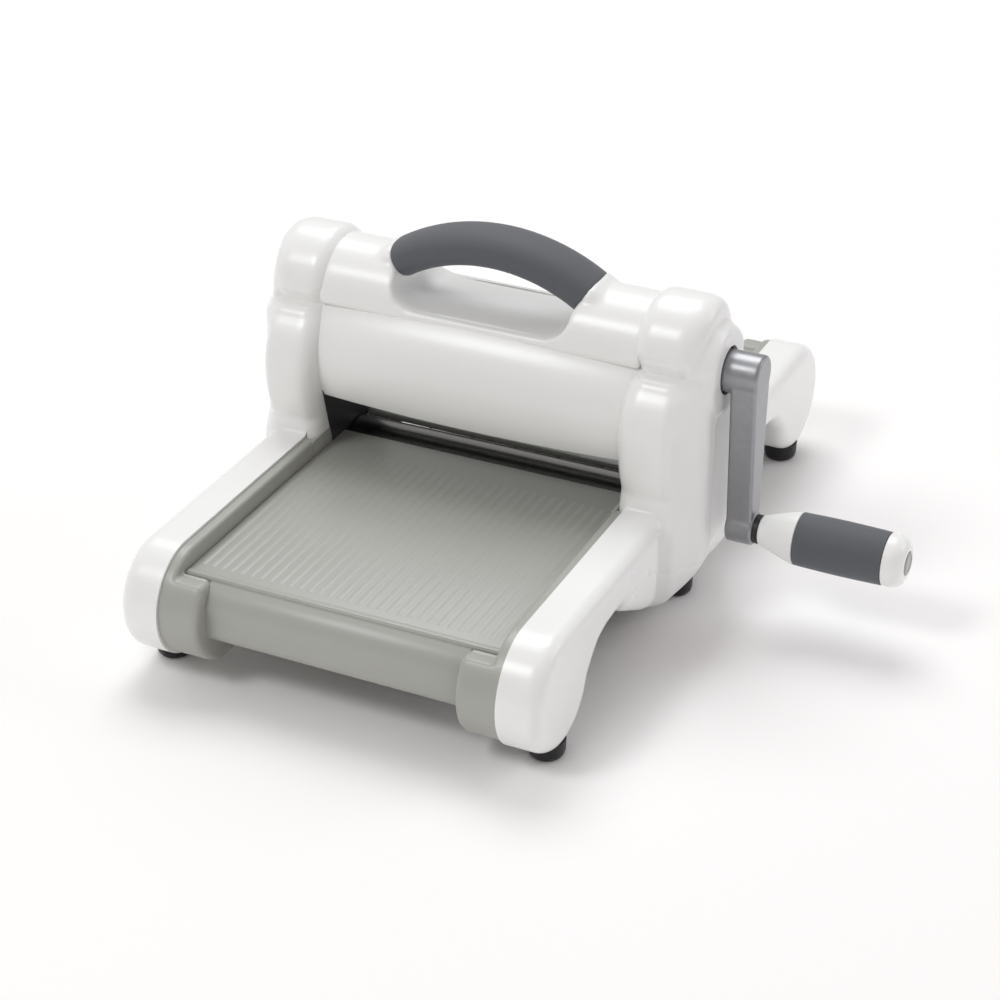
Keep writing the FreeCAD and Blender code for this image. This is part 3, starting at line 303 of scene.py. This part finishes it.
def moulded_plastic(name, colour, roughness, variation, pebble, pebble_depth):
    """Moulded plastic: a faint drift of colour and gloss, and the fine skin of the mould."""
    material = bpy.data.materials.new(name)
    material.use_nodes = True
    nodes, links = material.node_tree.nodes, material.node_tree.links
    shader = nodes["Principled BSDF"]
    place = nodes.new("ShaderNodeTexCoord")
    cloud = nodes.new("ShaderNodeTexNoise")
    cloud.inputs["Scale"].default_value = 14.0
    cloud.inputs["Detail"].default_value = 3.0
    tint = nodes.new("ShaderNodeMix")
    tint.data_type = "RGBA"
    tint.inputs["A"].default_value = (*[c * (1 - variation) for c in colour], 1)
    tint.inputs["B"].default_value = (*[min(c * (1 + variation), 1) for c in colour], 1)
    gloss = nodes.new("ShaderNodeMapRange")
    gloss.inputs["To Min"].default_value = roughness * 0.86
    gloss.inputs["To Max"].default_value = roughness * 1.16
    skin = nodes.new("ShaderNodeTexNoise")
    skin.inputs["Scale"].default_value = pebble
    skin.inputs["Detail"].default_value = 2.0
    bump = nodes.new("ShaderNodeBump")
    bump.inputs["Strength"].default_value = pebble_depth
    bump.inputs["Distance"].default_value = 0.1 * mm
    links.new(place.outputs["Object"], cloud.inputs["Vector"])
    links.new(place.outputs["Object"], skin.inputs["Vector"])
    links.new(cloud.outputs["Fac"], tint.inputs["Factor"])
    links.new(cloud.outputs["Fac"], gloss.inputs["Value"])
    links.new(skin.outputs["Fac"], bump.inputs["Height"])
    links.new(tint.outputs["Result"], shader.inputs["Base Color"])
    links.new(gloss.outputs["Result"], shader.inputs["Roughness"])
    links.new(bump.outputs["Normal"], shader.inputs["Normal"])
    return material


def smooth_over(piece, degrees):
    """Shade a piece smooth, with sharp lines where its faces turn by more than an angle."""
    take_up(piece)
    bpy.ops.object.shade_smooth_by_angle(angle=math.radians(degrees))


def finish_piece(piece, body, slot, material, *nodes):
    """Give a finished piece its material and its body, and hide the CAD nodes it stands for; the slot is
    not used.
    """
    piece.data.materials.clear()
    piece.data.materials.append(material)
    smooth_over(piece, 38)
    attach(piece, body)
    if nodes:
        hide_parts(*nodes)


white_plastic = moulded_plastic("white_shell", WHITE, 0.26, 0.012, 900.0, 0.05)

tower = drawn_slab("tower", both_halves(tower_half()), opening_half, pod_out, pod_soft)
inner_tower = second_copy(tower, "inner_tower")
arms = [drawn_slab("arm", arm_outline(end), arm_in, arm_out, arm_soft) for end in (-1, 1)]
outer = moulded("right_cover_shell", [tower, *arms], shell_grain, shell_passes)
pinch_crease(outer)
left_outer = second_copy(outer, "left_cover_shell")
sculpt_outer_face(outer, 1.0, True)
sculpt_outer_face(left_outer, 0.5, False)
for cover in (outer, left_outer):
    trim(cover, (seam_x, 0, 0), (1, 0, 0))
    thicken(cover, shell_wall)
turned_over(left_outer)
bore(outer, (boss_out, 0, crank_axis_z), crank_bore, 14 * mm)

inner = moulded("right_inner_shell", [inner_tower], shell_grain, shell_passes)
pinch_crease(inner)
trim(inner, (seam_x, 0, 0), (-1, 0, 0))
thicken(inner, shell_wall)
for axis_z in (upper_axis_z, lower_axis_z):
    bore(inner, (opening_half, 0, axis_z), roller_bore, 12 * mm)
left_inner = opposite(inner, "left_inner_shell")

for piece, node in ((outer, "right_side_cover"), (left_outer, "left_side_cover"),
                    (inner, "right_inner_cover"), (left_inner, "left_inner_cover")):
    finish_piece(piece, "frame", "white_shell", white_plastic, node)

# ---------------------------------------------------------------------------------------------
# Painted shade in the feed slot: a thin black plastic plate at each end of the feed slot, on the inner
# cover, bored for the roller's journal. Its black is painted shade over the white wall behind the panels.
# ---------------------------------------------------------------------------------------------
black_plastic = moulded_plastic("black_plastic", (0.02, 0.02, 0.022), 0.45, 0.06, 800.0, 0.1)
painted_shade_outline = [(-24 * mm, 52 * mm), (24 * mm, 52 * mm), (33 * mm, 88 * mm), (-33 * mm, 88 * mm)]
# Painted shade: a black plate set where only shade falls on the white wall inside the slot.
right_painted_shade = drawn_slab(
    "right_slot_painted_shade", painted_shade_outline, opening_half - 0.4 * mm, opening_half + 0.3 * mm)
bore(right_painted_shade, (opening_half, 0, upper_axis_z), roller_bore, 12 * mm)
left_painted_shade = opposite(right_painted_shade, "left_slot_painted_shade")
# Both plates carry the painted shade in the black plastic finish.
for shade_plate in (right_painted_shade, left_painted_shade):
    finish_piece(shade_plate, "frame", "black_plastic", black_plastic)

# ---------------------------------------------------------------------------------------------
# Upper housing: the white top moulding between the two tower sides, a half-round tube that
# grows into the stumps of the carry handle, with a scooped opening for the fingers.
# ---------------------------------------------------------------------------------------------
housing_half = opening_half + 3.6 * mm
housing_radius = 26.0 * mm
housing_axis_z = 129.0 * mm
crease_z = 128.4 * mm
arch_z = 73.2 * mm
arch_outer = 100.0 * mm
arch_inner = 82.0 * mm
arch_half_depth = 14.0 * mm
grip_half_angle = math.radians(32.0)
stump_end_angle = math.radians(52.0)
scoop_floor = 133.4 * mm
scoop_half = 46.0 * mm
scoop_corner = 12.0 * mm
scoop_top_half = 62.0 * mm


def swept_bar(name, section, angle_from, angle_to, steps):
    """Spin a (depth, radius) section about the handle's arch axis, and close both ends."""
    bpy.ops.object.select_all(action="DESELECT")
    bpy.ops.mesh.primitive_circle_add(vertices=len(section), radius=mm, fill_type="NGON")
    bar = bpy.context.object
    bar.name = name
    for vertex, (depth, radius) in zip(bar.data.vertices, section):
        vertex.co = Vector((radius * math.sin(angle_from), depth, arch_z + radius * math.cos(angle_from)))
    bpy.ops.object.mode_set(mode="EDIT")
    bpy.ops.mesh.select_all(action="SELECT")
    bpy.ops.mesh.spin(steps=steps, angle=angle_to - angle_from, center=(0, 0, arch_z), axis=(0, -1, 0))
    bpy.ops.mesh.select_all(action="SELECT")
    bpy.ops.mesh.normals_make_consistent(inside=False)
    bpy.ops.object.mode_set(mode="OBJECT")
    return bar


def rounded_section(half_depth, low, high, power, count):
    """A rounded oblong as (depth, radius) points; a higher power gives squarer corners."""
    points = []
    for i in range(count):
        angle = 2 * math.pi * i / count
        across, up = math.cos(angle), math.sin(angle)
        depth = half_depth * math.copysign(abs(across) ** (2 / power), across)
        rise = (high - low) / 2 * math.copysign(abs(up) ** (2 / power), up)
        points.append((depth, (high + low) / 2 + rise))
    return points


tube_outline = arc((0, housing_axis_z), housing_radius, 0, 180, 36)
tube_outline += [(-23.6 * mm, crease_z), (23.6 * mm, crease_z)]
tube = drawn_slab("tube", tube_outline, -housing_half, housing_half)
stump_section = rounded_section(arch_half_depth, arch_inner, arch_outer, 3.2, 40)
stumps = [
    swept_bar("stump", stump_section, side * (grip_half_angle - 0.004), side * stump_end_angle, 14)
    for side in (1, -1)
]
scoop_side = arc((scoop_half - scoop_corner, scoop_floor + scoop_corner), scoop_corner, -90, 0, 8)
scoop_side += [(half, arch_z + half / math.tan(grip_half_angle)) for half in (scoop_half, scoop_top_half)]
scoop = drawn_slab("scoop", both_halves(scoop_side), -40 * mm, 40 * mm)
scoop.data.transform(Matrix.Rotation(math.radians(-90), 4, "Z"))
cut_away(tube, scoop)
housing = moulded("upper_housing_shell", [tube, *stumps], 1.1 * mm, 9)
finish_piece(housing, "frame", "white_shell", white_plastic, "upper_housing")

# ---------------------------------------------------------------------------------------------
# Handle grip: a dark grey soft sleeve overmoulded on the arch between the two stumps, with a
# crowned back and rounded lower edges. Thermoplastic rubber.
# ---------------------------------------------------------------------------------------------
GRIP_GREY = (0.105, 0.112, 0.125)


def soft_rubber(name, colour, roughness):
    """Matt rubber: a fine pebbled skin, with a faint sheen where it is handled."""
    material = moulded_plastic(name, colour, roughness, 0.05, 1600.0, 0.22)
    shader = material.node_tree.nodes["Principled BSDF"]
    shader.inputs["Sheen Weight"].default_value = 0.12
    shader.inputs["Sheen Roughness"].default_value = 0.5
    shader.inputs["Specular IOR Level"].default_value = 0.35
    return material


grip_rubber = soft_rubber("dark_grip", GRIP_GREY, 0.62)
grip_section = rounded_section(arch_half_depth + 0.2 * mm, arch_inner - 0.2 * mm, arch_outer, 2.35, 64)
sleeve = swept_bar("handle_sleeve", grip_section, -grip_half_angle, grip_half_angle, 72)
soften(sleeve, 0.7 * mm, 3, 60)
finish_piece(sleeve, "frame", "dark_grip", grip_rubber, "handle_grip")

# ---------------------------------------------------------------------------------------------
# Tower panels: a white barrel-shaped panel in front of the upper roller and another behind it,
# fuller in the middle than at the ends, tucked under the housing. The same white moulding.
# ---------------------------------------------------------------------------------------------
barrel_z = 101.0 * mm
barrel_end = 35.5 * mm
barrel_middle = 39.5 * mm
panel_low_z = 83.0 * mm
panel_back_y = -21.5 * mm
panel_wall = 2.4 * mm
panel_half = opening_half + 3.2 * mm
panel_columns = 48
panel_under = math.radians(40)
panel_over = math.radians(62)


def barrel_radius(x):
    """The panel's radius, bowed along the machine's width."""
    return barrel_middle - (barrel_middle - barrel_end) * (x / panel_half) ** 2


def bowed_panel(name):
    """Draw the bowed line of the panel and spin it round the barrel's axis."""
    columns = [panel_half * (2 * i / panel_columns - 1) for i in range(panel_columns + 1)]
    panel = drawn_line(name, [Vector((x, -barrel_radius(x), barrel_z)) for x in columns])
    bpy.ops.transform.rotate(
        value=-panel_under, orient_axis="X", center_override=(0, 0, barrel_z))
    bpy.ops.mesh.spin(steps=56, angle=panel_under + panel_over, center=(0, 0, barrel_z), axis=(1, 0, 0))
    bpy.ops.mesh.select_all(action="SELECT")
    bpy.ops.mesh.normals_make_consistent(inside=False)
    bpy.ops.object.mode_set(mode="OBJECT")
    return panel


front_panel = bowed_panel("front_panel_shell")
trim(front_panel, (0, 0, panel_low_z), (0, 0, 1))
trim(front_panel, (0, panel_back_y, 0), (0, -1, 0))
if sum(face.normal.y for face in front_panel.data.polygons) > 0:
    front_panel.data.flip_normals()
thicken(front_panel, panel_wall)
soften(front_panel, 0.8 * mm, 3, 50)
smooth_over(front_panel, 35)
rear_panel = opposite(front_panel, "rear_panel_shell", across_x=False, across_y=True)
finish_piece(front_panel, "frame", "white_shell", white_plastic, "front_panel")
finish_piece(rear_panel, "frame", "white_shell", white_plastic, "rear_panel")

# ---------------------------------------------------------------------------------------------
# Feed trays: a grey moulded plate in front of the rollers and another behind them, with fine
# raised ribs along it, a bead at its outer end and stiffening webs underneath.
# ---------------------------------------------------------------------------------------------
GREY = (0.40, 0.405, 0.375)
grey_plastic = moulded_plastic("grey_tray", GREY, 0.33, 0.03, 700.0, 0.12)
tray_low, tray_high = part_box("front_tray")
tray_top = tray_high.z
tray_half = tray_high.x
tray_end = tray_low.y
rib_pitch = 5.0 * mm
rib_half = 1.4 * mm
rib_height = 0.05 * mm


def bar_between(name, low, high, soft_edge):
    """A straight bar between two corners, with softened edges."""
    low, high = Vector(low), Vector(high)
    bpy.ops.object.select_all(action="DESELECT")
    bpy.ops.mesh.primitive_cube_add(size=1, location=(low + high) / 2, scale=high - low)
    bar = bpy.context.object
    bar.name = name
    bpy.ops.object.transform_apply(location=True, rotation=True, scale=True)
    soften(bar, soft_edge, 3, 30)
    return bar


def one_piece(name, parts):
    """Join parts that are moulded or fixed as one, and keep their edges crisp."""
    piece = joined(name, parts)
    smooth_over(piece, 35)
    return piece


tray_parts = [bar_between(
    "plate", (-tray_half, tray_end, tray_top - 3 * mm), (tray_half, tray_high.y, tray_top), 0.5 * mm)]
rib_count = int(2 * (tray_half - 4 * mm) / rib_pitch) + 1
for k in range(rib_count):
    x = (k - (rib_count - 1) / 2) * rib_pitch
    tray_parts.append(bar_between(
        "rib", (x - rib_half, tray_end + 9 * mm, tray_top - 1 * mm),
        (x + rib_half, -30 * mm, tray_top + rib_height), 0.045 * mm))
tray_parts.append(bar_between(
    "bead", (-tray_half + 0.5 * mm, tray_end + 0.4 * mm, tray_top - 1.5 * mm),
    (tray_half - 0.5 * mm, tray_end + 3.4 * mm, tray_top + 0.5 * mm), 0.5 * mm))
for share in (-0.6, -0.3, 0, 0.3, 0.6):
    tray_parts.append(bar_between(
        "web", (tray_half * share - 1 * mm, -120 * mm, tray_low.z),
        (tray_half * share + 1 * mm, -20 * mm, tray_top - 2 * mm), 0.4 * mm))
front_tray = one_piece("front_tray_plate", tray_parts)
rear_tray = opposite(front_tray, "rear_tray_plate", across_x=False, across_y=True)
finish_piece(front_tray, "frame", "grey_tray", grey_plastic, "front_tray")
finish_piece(rear_tray, "frame", "grey_tray", grey_plastic, "rear_tray")

# ---------------------------------------------------------------------------------------------
# Cheeks: the grey wall along each side of a tray, which turns down round the arm's end into a
# round lobe beside the nose bar. A thin tail runs on over the inner cover to the feed slot. Four
# alike, mirrored, moulded in the tray's grey plastic.
# ---------------------------------------------------------------------------------------------
lobe_radius = 27.0 * mm
lobe_inner = 64.2 * mm
wall_top = bulb_z + lobe_radius
wall_low = 45.0 * mm
wall_end_y = -40.5 * mm
tail_start_y = wall_end_y - 3 * mm
tail_end_y = -25.0 * mm
cheek_out = seam_x + 3.2 * mm
lobe_top = tray_top - 0.4 * mm
under_tray = tray_top - 2.2 * mm
lobe_level = math.degrees(math.asin((lobe_top - bulb_z) / lobe_radius))
lobe_outline = arc((-bulb_y, bulb_z), lobe_radius, 180 - lobe_level, 360, 32)
lobe_outline += [(-bulb_y + lobe_radius, under_tray), (-163.8 * mm, under_tray), (-164.2 * mm, lobe_top)]
lobe = drawn_slab("lobe", lobe_outline, lobe_inner, cheek_out, 2.6 * mm)
wall_outline = arc((-bulb_y, bulb_z), lobe_radius, 90, 180, 16)
wall_outline += [
    (-bulb_y, bulb_z), (-bulb_y + 20 * mm, wall_low), (wall_end_y, wall_low), (wall_end_y, wall_top)]
side_wall = drawn_slab("side_wall", wall_outline, opening_half, cheek_out, 1.3 * mm, 3)
tail_outline = [(tail_start_y, tray_top - 3 * mm), (tail_end_y, tray_top - 3 * mm),
                (tail_end_y, wall_top), (tail_start_y, wall_top)]
wall_tail = drawn_slab(
    "wall_tail", tail_outline, opening_half - 0.3 * mm, opening_half + 1.2 * mm, 0.2 * mm, 2)
cheek = moulded("cheek_wall", [lobe, side_wall], 0.9 * mm, 4)
cheek = one_piece("front_right_cheek_wall", [cheek, wall_tail])
finish_piece(cheek, "frame", "grey_tray", grey_plastic, "front_right_cheek")
for word, over_x, over_y in (
        ("front_left", True, False), ("rear_right", False, True), ("rear_left", True, True)):
    twin = opposite(cheek, word + "_cheek_wall", over_x, over_y)
    finish_piece(twin, "frame", "grey_tray", grey_plastic, word + "_cheek")

# ---------------------------------------------------------------------------------------------
# Nose bars: a hollow grey bar with a round top edge across the end of each tray, between the
# lobes. It is open underneath and behind.
# ---------------------------------------------------------------------------------------------
nose_y = -171.5 * mm
nose_low = 25.0 * mm
nose_round = 14.0 * mm
nose_low_round = 6.0 * mm
nose_wall = 2.6 * mm
nose_half = lobe_inner + 1.2 * mm
nose_foot_y = -154.5 * mm


def nose_path(inset):
    """The bar's outline from its top back edge over the front to its bottom back edge."""
    top, front, low = tray_top - inset, nose_y + inset, nose_low + inset
    upper, lower = nose_round - inset, nose_low_round - inset
    path = arc((front + upper, top - upper), upper, 105, 180, 10)
    path += arc((front + lower, low + lower), lower, 180, 270, 6)
    return path + [(nose_foot_y, low)]


nose = drawn_slab("front_nose_bar_shell", nose_path(0) + nose_path(nose_wall)[::-1],
                  -nose_half, nose_half, 0.6 * mm, 3)
smooth_over(nose, 35)
rear_nose = opposite(nose, "rear_nose_bar_shell", across_x=False, across_y=True)
finish_piece(nose, "frame", "grey_tray", grey_plastic, "front_nose_bar")
finish_piece(rear_nose, "frame", "grey_tray", grey_plastic, "rear_nose_bar")

# ---------------------------------------------------------------------------------------------
# Feet: six black rubber feet pressed into the covers, dished under the rim and slightly flared.
# ---------------------------------------------------------------------------------------------
black_rubber = soft_rubber("black_rubber", (0.012, 0.012, 0.014), 0.5)


def profile_mm(start, points):
    """A profile of (along, radius) points given in millimetres from a start on the axis."""
    return [(start + along * mm, radius * mm) for along, radius in points]


def lathed(name, profile, centre, axis="X", sides=72):
    """Turn a profile of (along, radius) points about an axis through centre; its ends close on it."""
    if axis == "X":
        places = [Vector(centre) + Vector((along, 0, radius)) for along, radius in profile]
        about = (1, 0, 0)
    else:
        places = [Vector(centre) + Vector((radius, 0, along)) for along, radius in profile]
        about = (0, 0, 1)
    piece = drawn_line(name, places)
    bpy.ops.mesh.spin(steps=sides, angle=2 * math.pi, center=centre, axis=about)
    bpy.ops.mesh.select_all(action="SELECT")
    bpy.ops.mesh.remove_doubles(threshold=0.005 * mm)
    bpy.ops.mesh.normals_make_consistent(inside=False)
    bpy.ops.object.mode_set(mode="OBJECT")
    smooth_over(piece, 32)
    return piece


foot_profile = profile_mm(0, [
    (0.8, 0), (0.8, 4.2), (0, 5.2), (0, 6.2), (0.5, 7.2), (1.5, 8.0), (3.2, 8.5), (9.0, 8.7), (9.0, 0)])
for end in ("front", "middle", "rear"):
    for side in ("right", "left"):
        low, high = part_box(f"{end}_{side}_foot")
        foot_centre = ((low.x + high.x) / 2, (low.y + high.y) / 2, 0)
        foot = lathed(f"{end}_{side}_foot_pad", foot_profile, foot_centre, "Z", 48)
        finish_piece(foot, "frame", "black_rubber", black_rubber, f"{end}_{side}_foot")

# ---------------------------------------------------------------------------------------------
# Crank arm: a cast alloy arm in satin silver, a round hub on the shaft, a tapering bar and a
# smaller eye that takes the grip's spindle. A grub screw sits in the hub.
# ---------------------------------------------------------------------------------------------


def brushed_metal(name, colour, roughness, stretch, metallic=1.0):
    """Worked metal: fine lines along one direction and slow drifts of gloss."""
    material = bpy.data.materials.new(name)
    material.use_nodes = True
    nodes, links = material.node_tree.nodes, material.node_tree.links
    shader = nodes["Principled BSDF"]
    shader.inputs["Metallic"].default_value = metallic
    place = nodes.new("ShaderNodeTexCoord")
    turn = nodes.new("ShaderNodeMapping")
    turn.inputs["Scale"].default_value = stretch
    lines = nodes.new("ShaderNodeTexNoise")
    lines.inputs["Scale"].default_value = 5.0
    lines.inputs["Detail"].default_value = 4.0
    tint = nodes.new("ShaderNodeMix")
    tint.data_type = "RGBA"
    tint.inputs["A"].default_value = (*[c * 0.9 for c in colour], 1)
    tint.inputs["B"].default_value = (*[min(c * 1.1, 1) for c in colour], 1)
    gloss = nodes.new("ShaderNodeMapRange")
    gloss.inputs["To Min"].default_value = roughness * 0.8
    gloss.inputs["To Max"].default_value = roughness * 1.25
    bump = nodes.new("ShaderNodeBump")
    bump.inputs["Strength"].default_value = 0.12
    bump.inputs["Distance"].default_value = 0.05 * mm
    links.new(place.outputs["Object"], turn.inputs["Vector"])
    links.new(turn.outputs["Vector"], lines.inputs["Vector"])
    links.new(lines.outputs["Fac"], tint.inputs["Factor"])
    links.new(lines.outputs["Fac"], gloss.inputs["Value"])
    links.new(lines.outputs["Fac"], bump.inputs["Height"])
    links.new(tint.outputs["Result"], shader.inputs["Base Color"])
    links.new(gloss.outputs["Result"], shader.inputs["Roughness"])
    links.new(bump.outputs["Normal"], shader.inputs["Normal"])
    return material


crank_alloy = brushed_metal("crank_metal", (0.34, 0.34, 0.355), 0.36, (60, 60, 60), 0.75)
hub_radius = 10.2 * mm
hub_in = 114.0 * mm
bar_in = 122.0 * mm
bar_out = 135.0 * mm
bar_hub_half = 9.6 * mm
bar_eye_half = 5.9 * mm
shaft_bore = 6.0 * mm
eye_z = 44.5 * mm
eye_radius = 8.3 * mm
bar_outline = both_halves([(bar_hub_half, crank_axis_z), (bar_eye_half, eye_z)])
crank_parts = [
    drawn_slab("bar", bar_outline, bar_in, bar_out - 0.3 * mm, 1.0 * mm, 3),
    drawn_slab("hub", arc((0, crank_axis_z), hub_radius, 0, 355, 71), hub_in, bar_out, 1.4 * mm, 4),
    drawn_slab("eye", arc((0, eye_z), eye_radius, 0, 355, 71), bar_in, bar_out + 0.4 * mm, 1.2 * mm, 4),
]
crank_arm = moulded("crank_arm_casting", crank_parts, 0.55 * mm, 3)
bore(crank_arm, (hub_in + 4 * mm, 0, crank_axis_z), shaft_bore, 20 * mm)
finish_piece(crank_arm, "crank", "crank_metal", crank_alloy, "crank_arm")

# ---------------------------------------------------------------------------------------------
# Hand grip: a white collar that widens from the crank, a dark grey soft sleeve and a domed
# white cap with a grey plug. It turns freely on its spindle.
# ---------------------------------------------------------------------------------------------
grip_axis = (0, 0, eye_z)
collar_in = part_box("grip_core")[0].x
sleeve_in, sleeve_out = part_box("grip_sleeve")[0].x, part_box("grip_sleeve")[1].x
cap_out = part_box("grip_cap")[1].x
plug_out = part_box("grip_plug")[1].x
collar_long = (sleeve_in - collar_in) / mm
core_long = (sleeve_out - collar_in) / mm - 0.1
sleeve_long = (sleeve_out - sleeve_in) / mm
cap_long = (cap_out - sleeve_out) / mm
spindle_radius = 4.2
core_radius = 10.2
sleeve_radius = 12.75
dome_radius = 6.5

collar_side = [
    (0.3, spindle_radius), (0, 4.6), (0, 6.6), (0.7, 7.4), (2.5, 7.9), (6, 9.0), (10, 10.4), (14, 11.7),
    (17, 12.5), (collar_long - 0.35, 12.8), (collar_long, 12.5), (collar_long, core_radius)]
core_side = [(core_long, core_radius), (core_long, spindle_radius), (0.3, spindle_radius)]
collar = lathed("grip_collar", profile_mm(collar_in, collar_side + core_side), grip_axis)
finish_piece(collar, "grip", "white_shell", white_plastic, "grip_core")

barrelled = [
    (0.25 + (sleeve_long - 0.5) * i / 16, sleeve_radius + 0.35 * math.sin(math.pi * i / 16))
    for i in range(17)]
sleeve_side = [(0.25, 10.3), (0.1, 12.4)] + barrelled
sleeve_side += [(sleeve_long - 0.1, 12.4), (sleeve_long - 0.25, 10.3), (0.25, 10.3)]
grip_sleeve = lathed("grip_soft_sleeve", profile_mm(sleeve_in, sleeve_side), grip_axis)
finish_piece(grip_sleeve, "grip", "dark_grip", grip_rubber, "grip_sleeve")

dome_steps = [math.radians(9 * i) for i in range(10)]
dome = [
    (cap_long - dome_radius + dome_radius * math.sin(a), 6.2 + dome_radius * math.cos(a))
    for a in dome_steps]
plug_seat = [(cap_long - 0.3, 5.9), (cap_long - 3.5, 5.9), (cap_long - 3.5, 7.4), (0.1, 7.4)]
cap_side = [(0.1, 7.4), (0.1, 12.3), (0.4, 12.7)] + dome + plug_seat
cap = lathed("grip_end_cap", profile_mm(sleeve_out, cap_side), grip_axis)
finish_piece(cap, "grip", "white_shell", white_plastic, "grip_cap")

plug_side = [(-4.2, 0), (-4.2, 5.6), (-0.9, 5.6), (-0.4, 5.2), (-0.15, 4.4), (-0.5, 3.9), (-0.5, 0)]
plug = lathed("grip_end_plug", profile_mm(plug_out, plug_side), grip_axis, "X", 48)
finish_piece(plug, "grip", "grey_tray", grey_plastic, "grip_plug")

# ---------------------------------------------------------------------------------------------
# Carried-over pieces: rollers, gears, plates, rods, bushes and fasteners keep their own shapes
# and get their finishes here.
# ---------------------------------------------------------------------------------------------
steel_turned = brushed_metal("roller_steel", (0.30, 0.30, 0.30), 0.24, (220, 3, 3))
steel_sintered = brushed_metal("gear_steel", (0.20, 0.19, 0.18), 0.5, (90, 90, 90))
bronze = brushed_metal("bush_bronze", (0.52, 0.33, 0.15), 0.38, (120, 10, 10))
zinc = brushed_metal("fastener_steel", (0.50, 0.50, 0.51), 0.34, (70, 70, 70))
black_coat = moulded_plastic("frame_steel", (0.02, 0.02, 0.022), 0.42, 0.06, 500.0, 0.12)
finishes = {
    "white_shell": white_plastic, "grey_tray": grey_plastic, "dark_grip": grip_rubber,
    "black_rubber": black_rubber, "frame_steel": black_coat, "roller_steel": steel_turned,
    "gear_steel": steel_sintered, "bush_bronze": bronze, "black_plastic": black_plastic,
    "crank_metal": crank_alloy, "fastener_steel": zinc,
}
for part in frame["record"]["subparts"]:
    node = frame["nodes"][part["node"]]
    node.data.materials.clear()
    node.data.materials.append(finishes[part["material_slot"]])

# ---------------------------------------------------------------------------------------------
# Studio: a plain pale floor, one broad soft light overhead, a cool fill from the right and a
# smaller light in front, and a long lens that looks down on the machine from its crank side.
# ---------------------------------------------------------------------------------------------
bpy.ops.object.select_all(action="DESELECT")
bpy.ops.mesh.primitive_plane_add(size=12, location=(0, 0, 0))
floor = bpy.context.object
floor.name = "floor"
paper = bpy.data.materials.new("pale_paper")
paper.use_nodes = True
paper_shader = paper.node_tree.nodes["Principled BSDF"]
paper_shader.inputs["Base Color"].default_value = (0.985, 0.972, 0.968, 1)
paper_shader.inputs["Roughness"].default_value = 0.9
paper_shader.inputs["Specular IOR Level"].default_value = 0.1
floor.data.materials.append(paper)

world = bpy.data.worlds.new("studio")
bpy.context.scene.world = world
world.use_nodes = True
world.node_tree.nodes["Background"].inputs["Color"].default_value = (1.0, 0.96, 0.95, 1)
world.node_tree.nodes["Background"].inputs["Strength"].default_value = 0.49


def soft_light(name, place, aim, size, power, colour):
    """A square area light at a place, turned to face a point."""
    light = bpy.data.lights.new(name, "AREA")
    light.size = size
    light.energy = power
    light.color = colour
    lamp = bpy.data.objects.new(name, light)
    bpy.context.scene.collection.objects.link(lamp)
    lamp.location = place
    lamp.rotation_euler = (Vector(aim) - Vector(place)).to_track_quat("-Z", "Y").to_euler()


soft_light("overhead", (-0.8, 1.3, 2.8), (0, 0, 0.05), 1.8, 44, (0.97, 1.0, 1.0))
soft_light("right_fill", (2.0, 1.3, 1.2), (0.05, 0, 0.07), 1.2, 10, (0.88, 0.92, 1.0))
soft_light("front_fill", (-1.0, -1.6, 2.2), (0, 0, 0.07), 0.7, 18, (0.97, 1.0, 1.0))

view = bpy.data.cameras.new("camera")
view.lens = 88.67
view.sensor_width = 36
camera = bpy.data.objects.new("camera", view)
bpy.context.scene.collection.objects.link(camera)
camera.location = (0.457, -0.960, 0.635)
camera.rotation_euler = (math.radians(90 - 29.77), 0, math.radians(25.40))
bpy.context.scene.camera = camera
bpy.context.scene.view_settings.view_transform = "Standard"
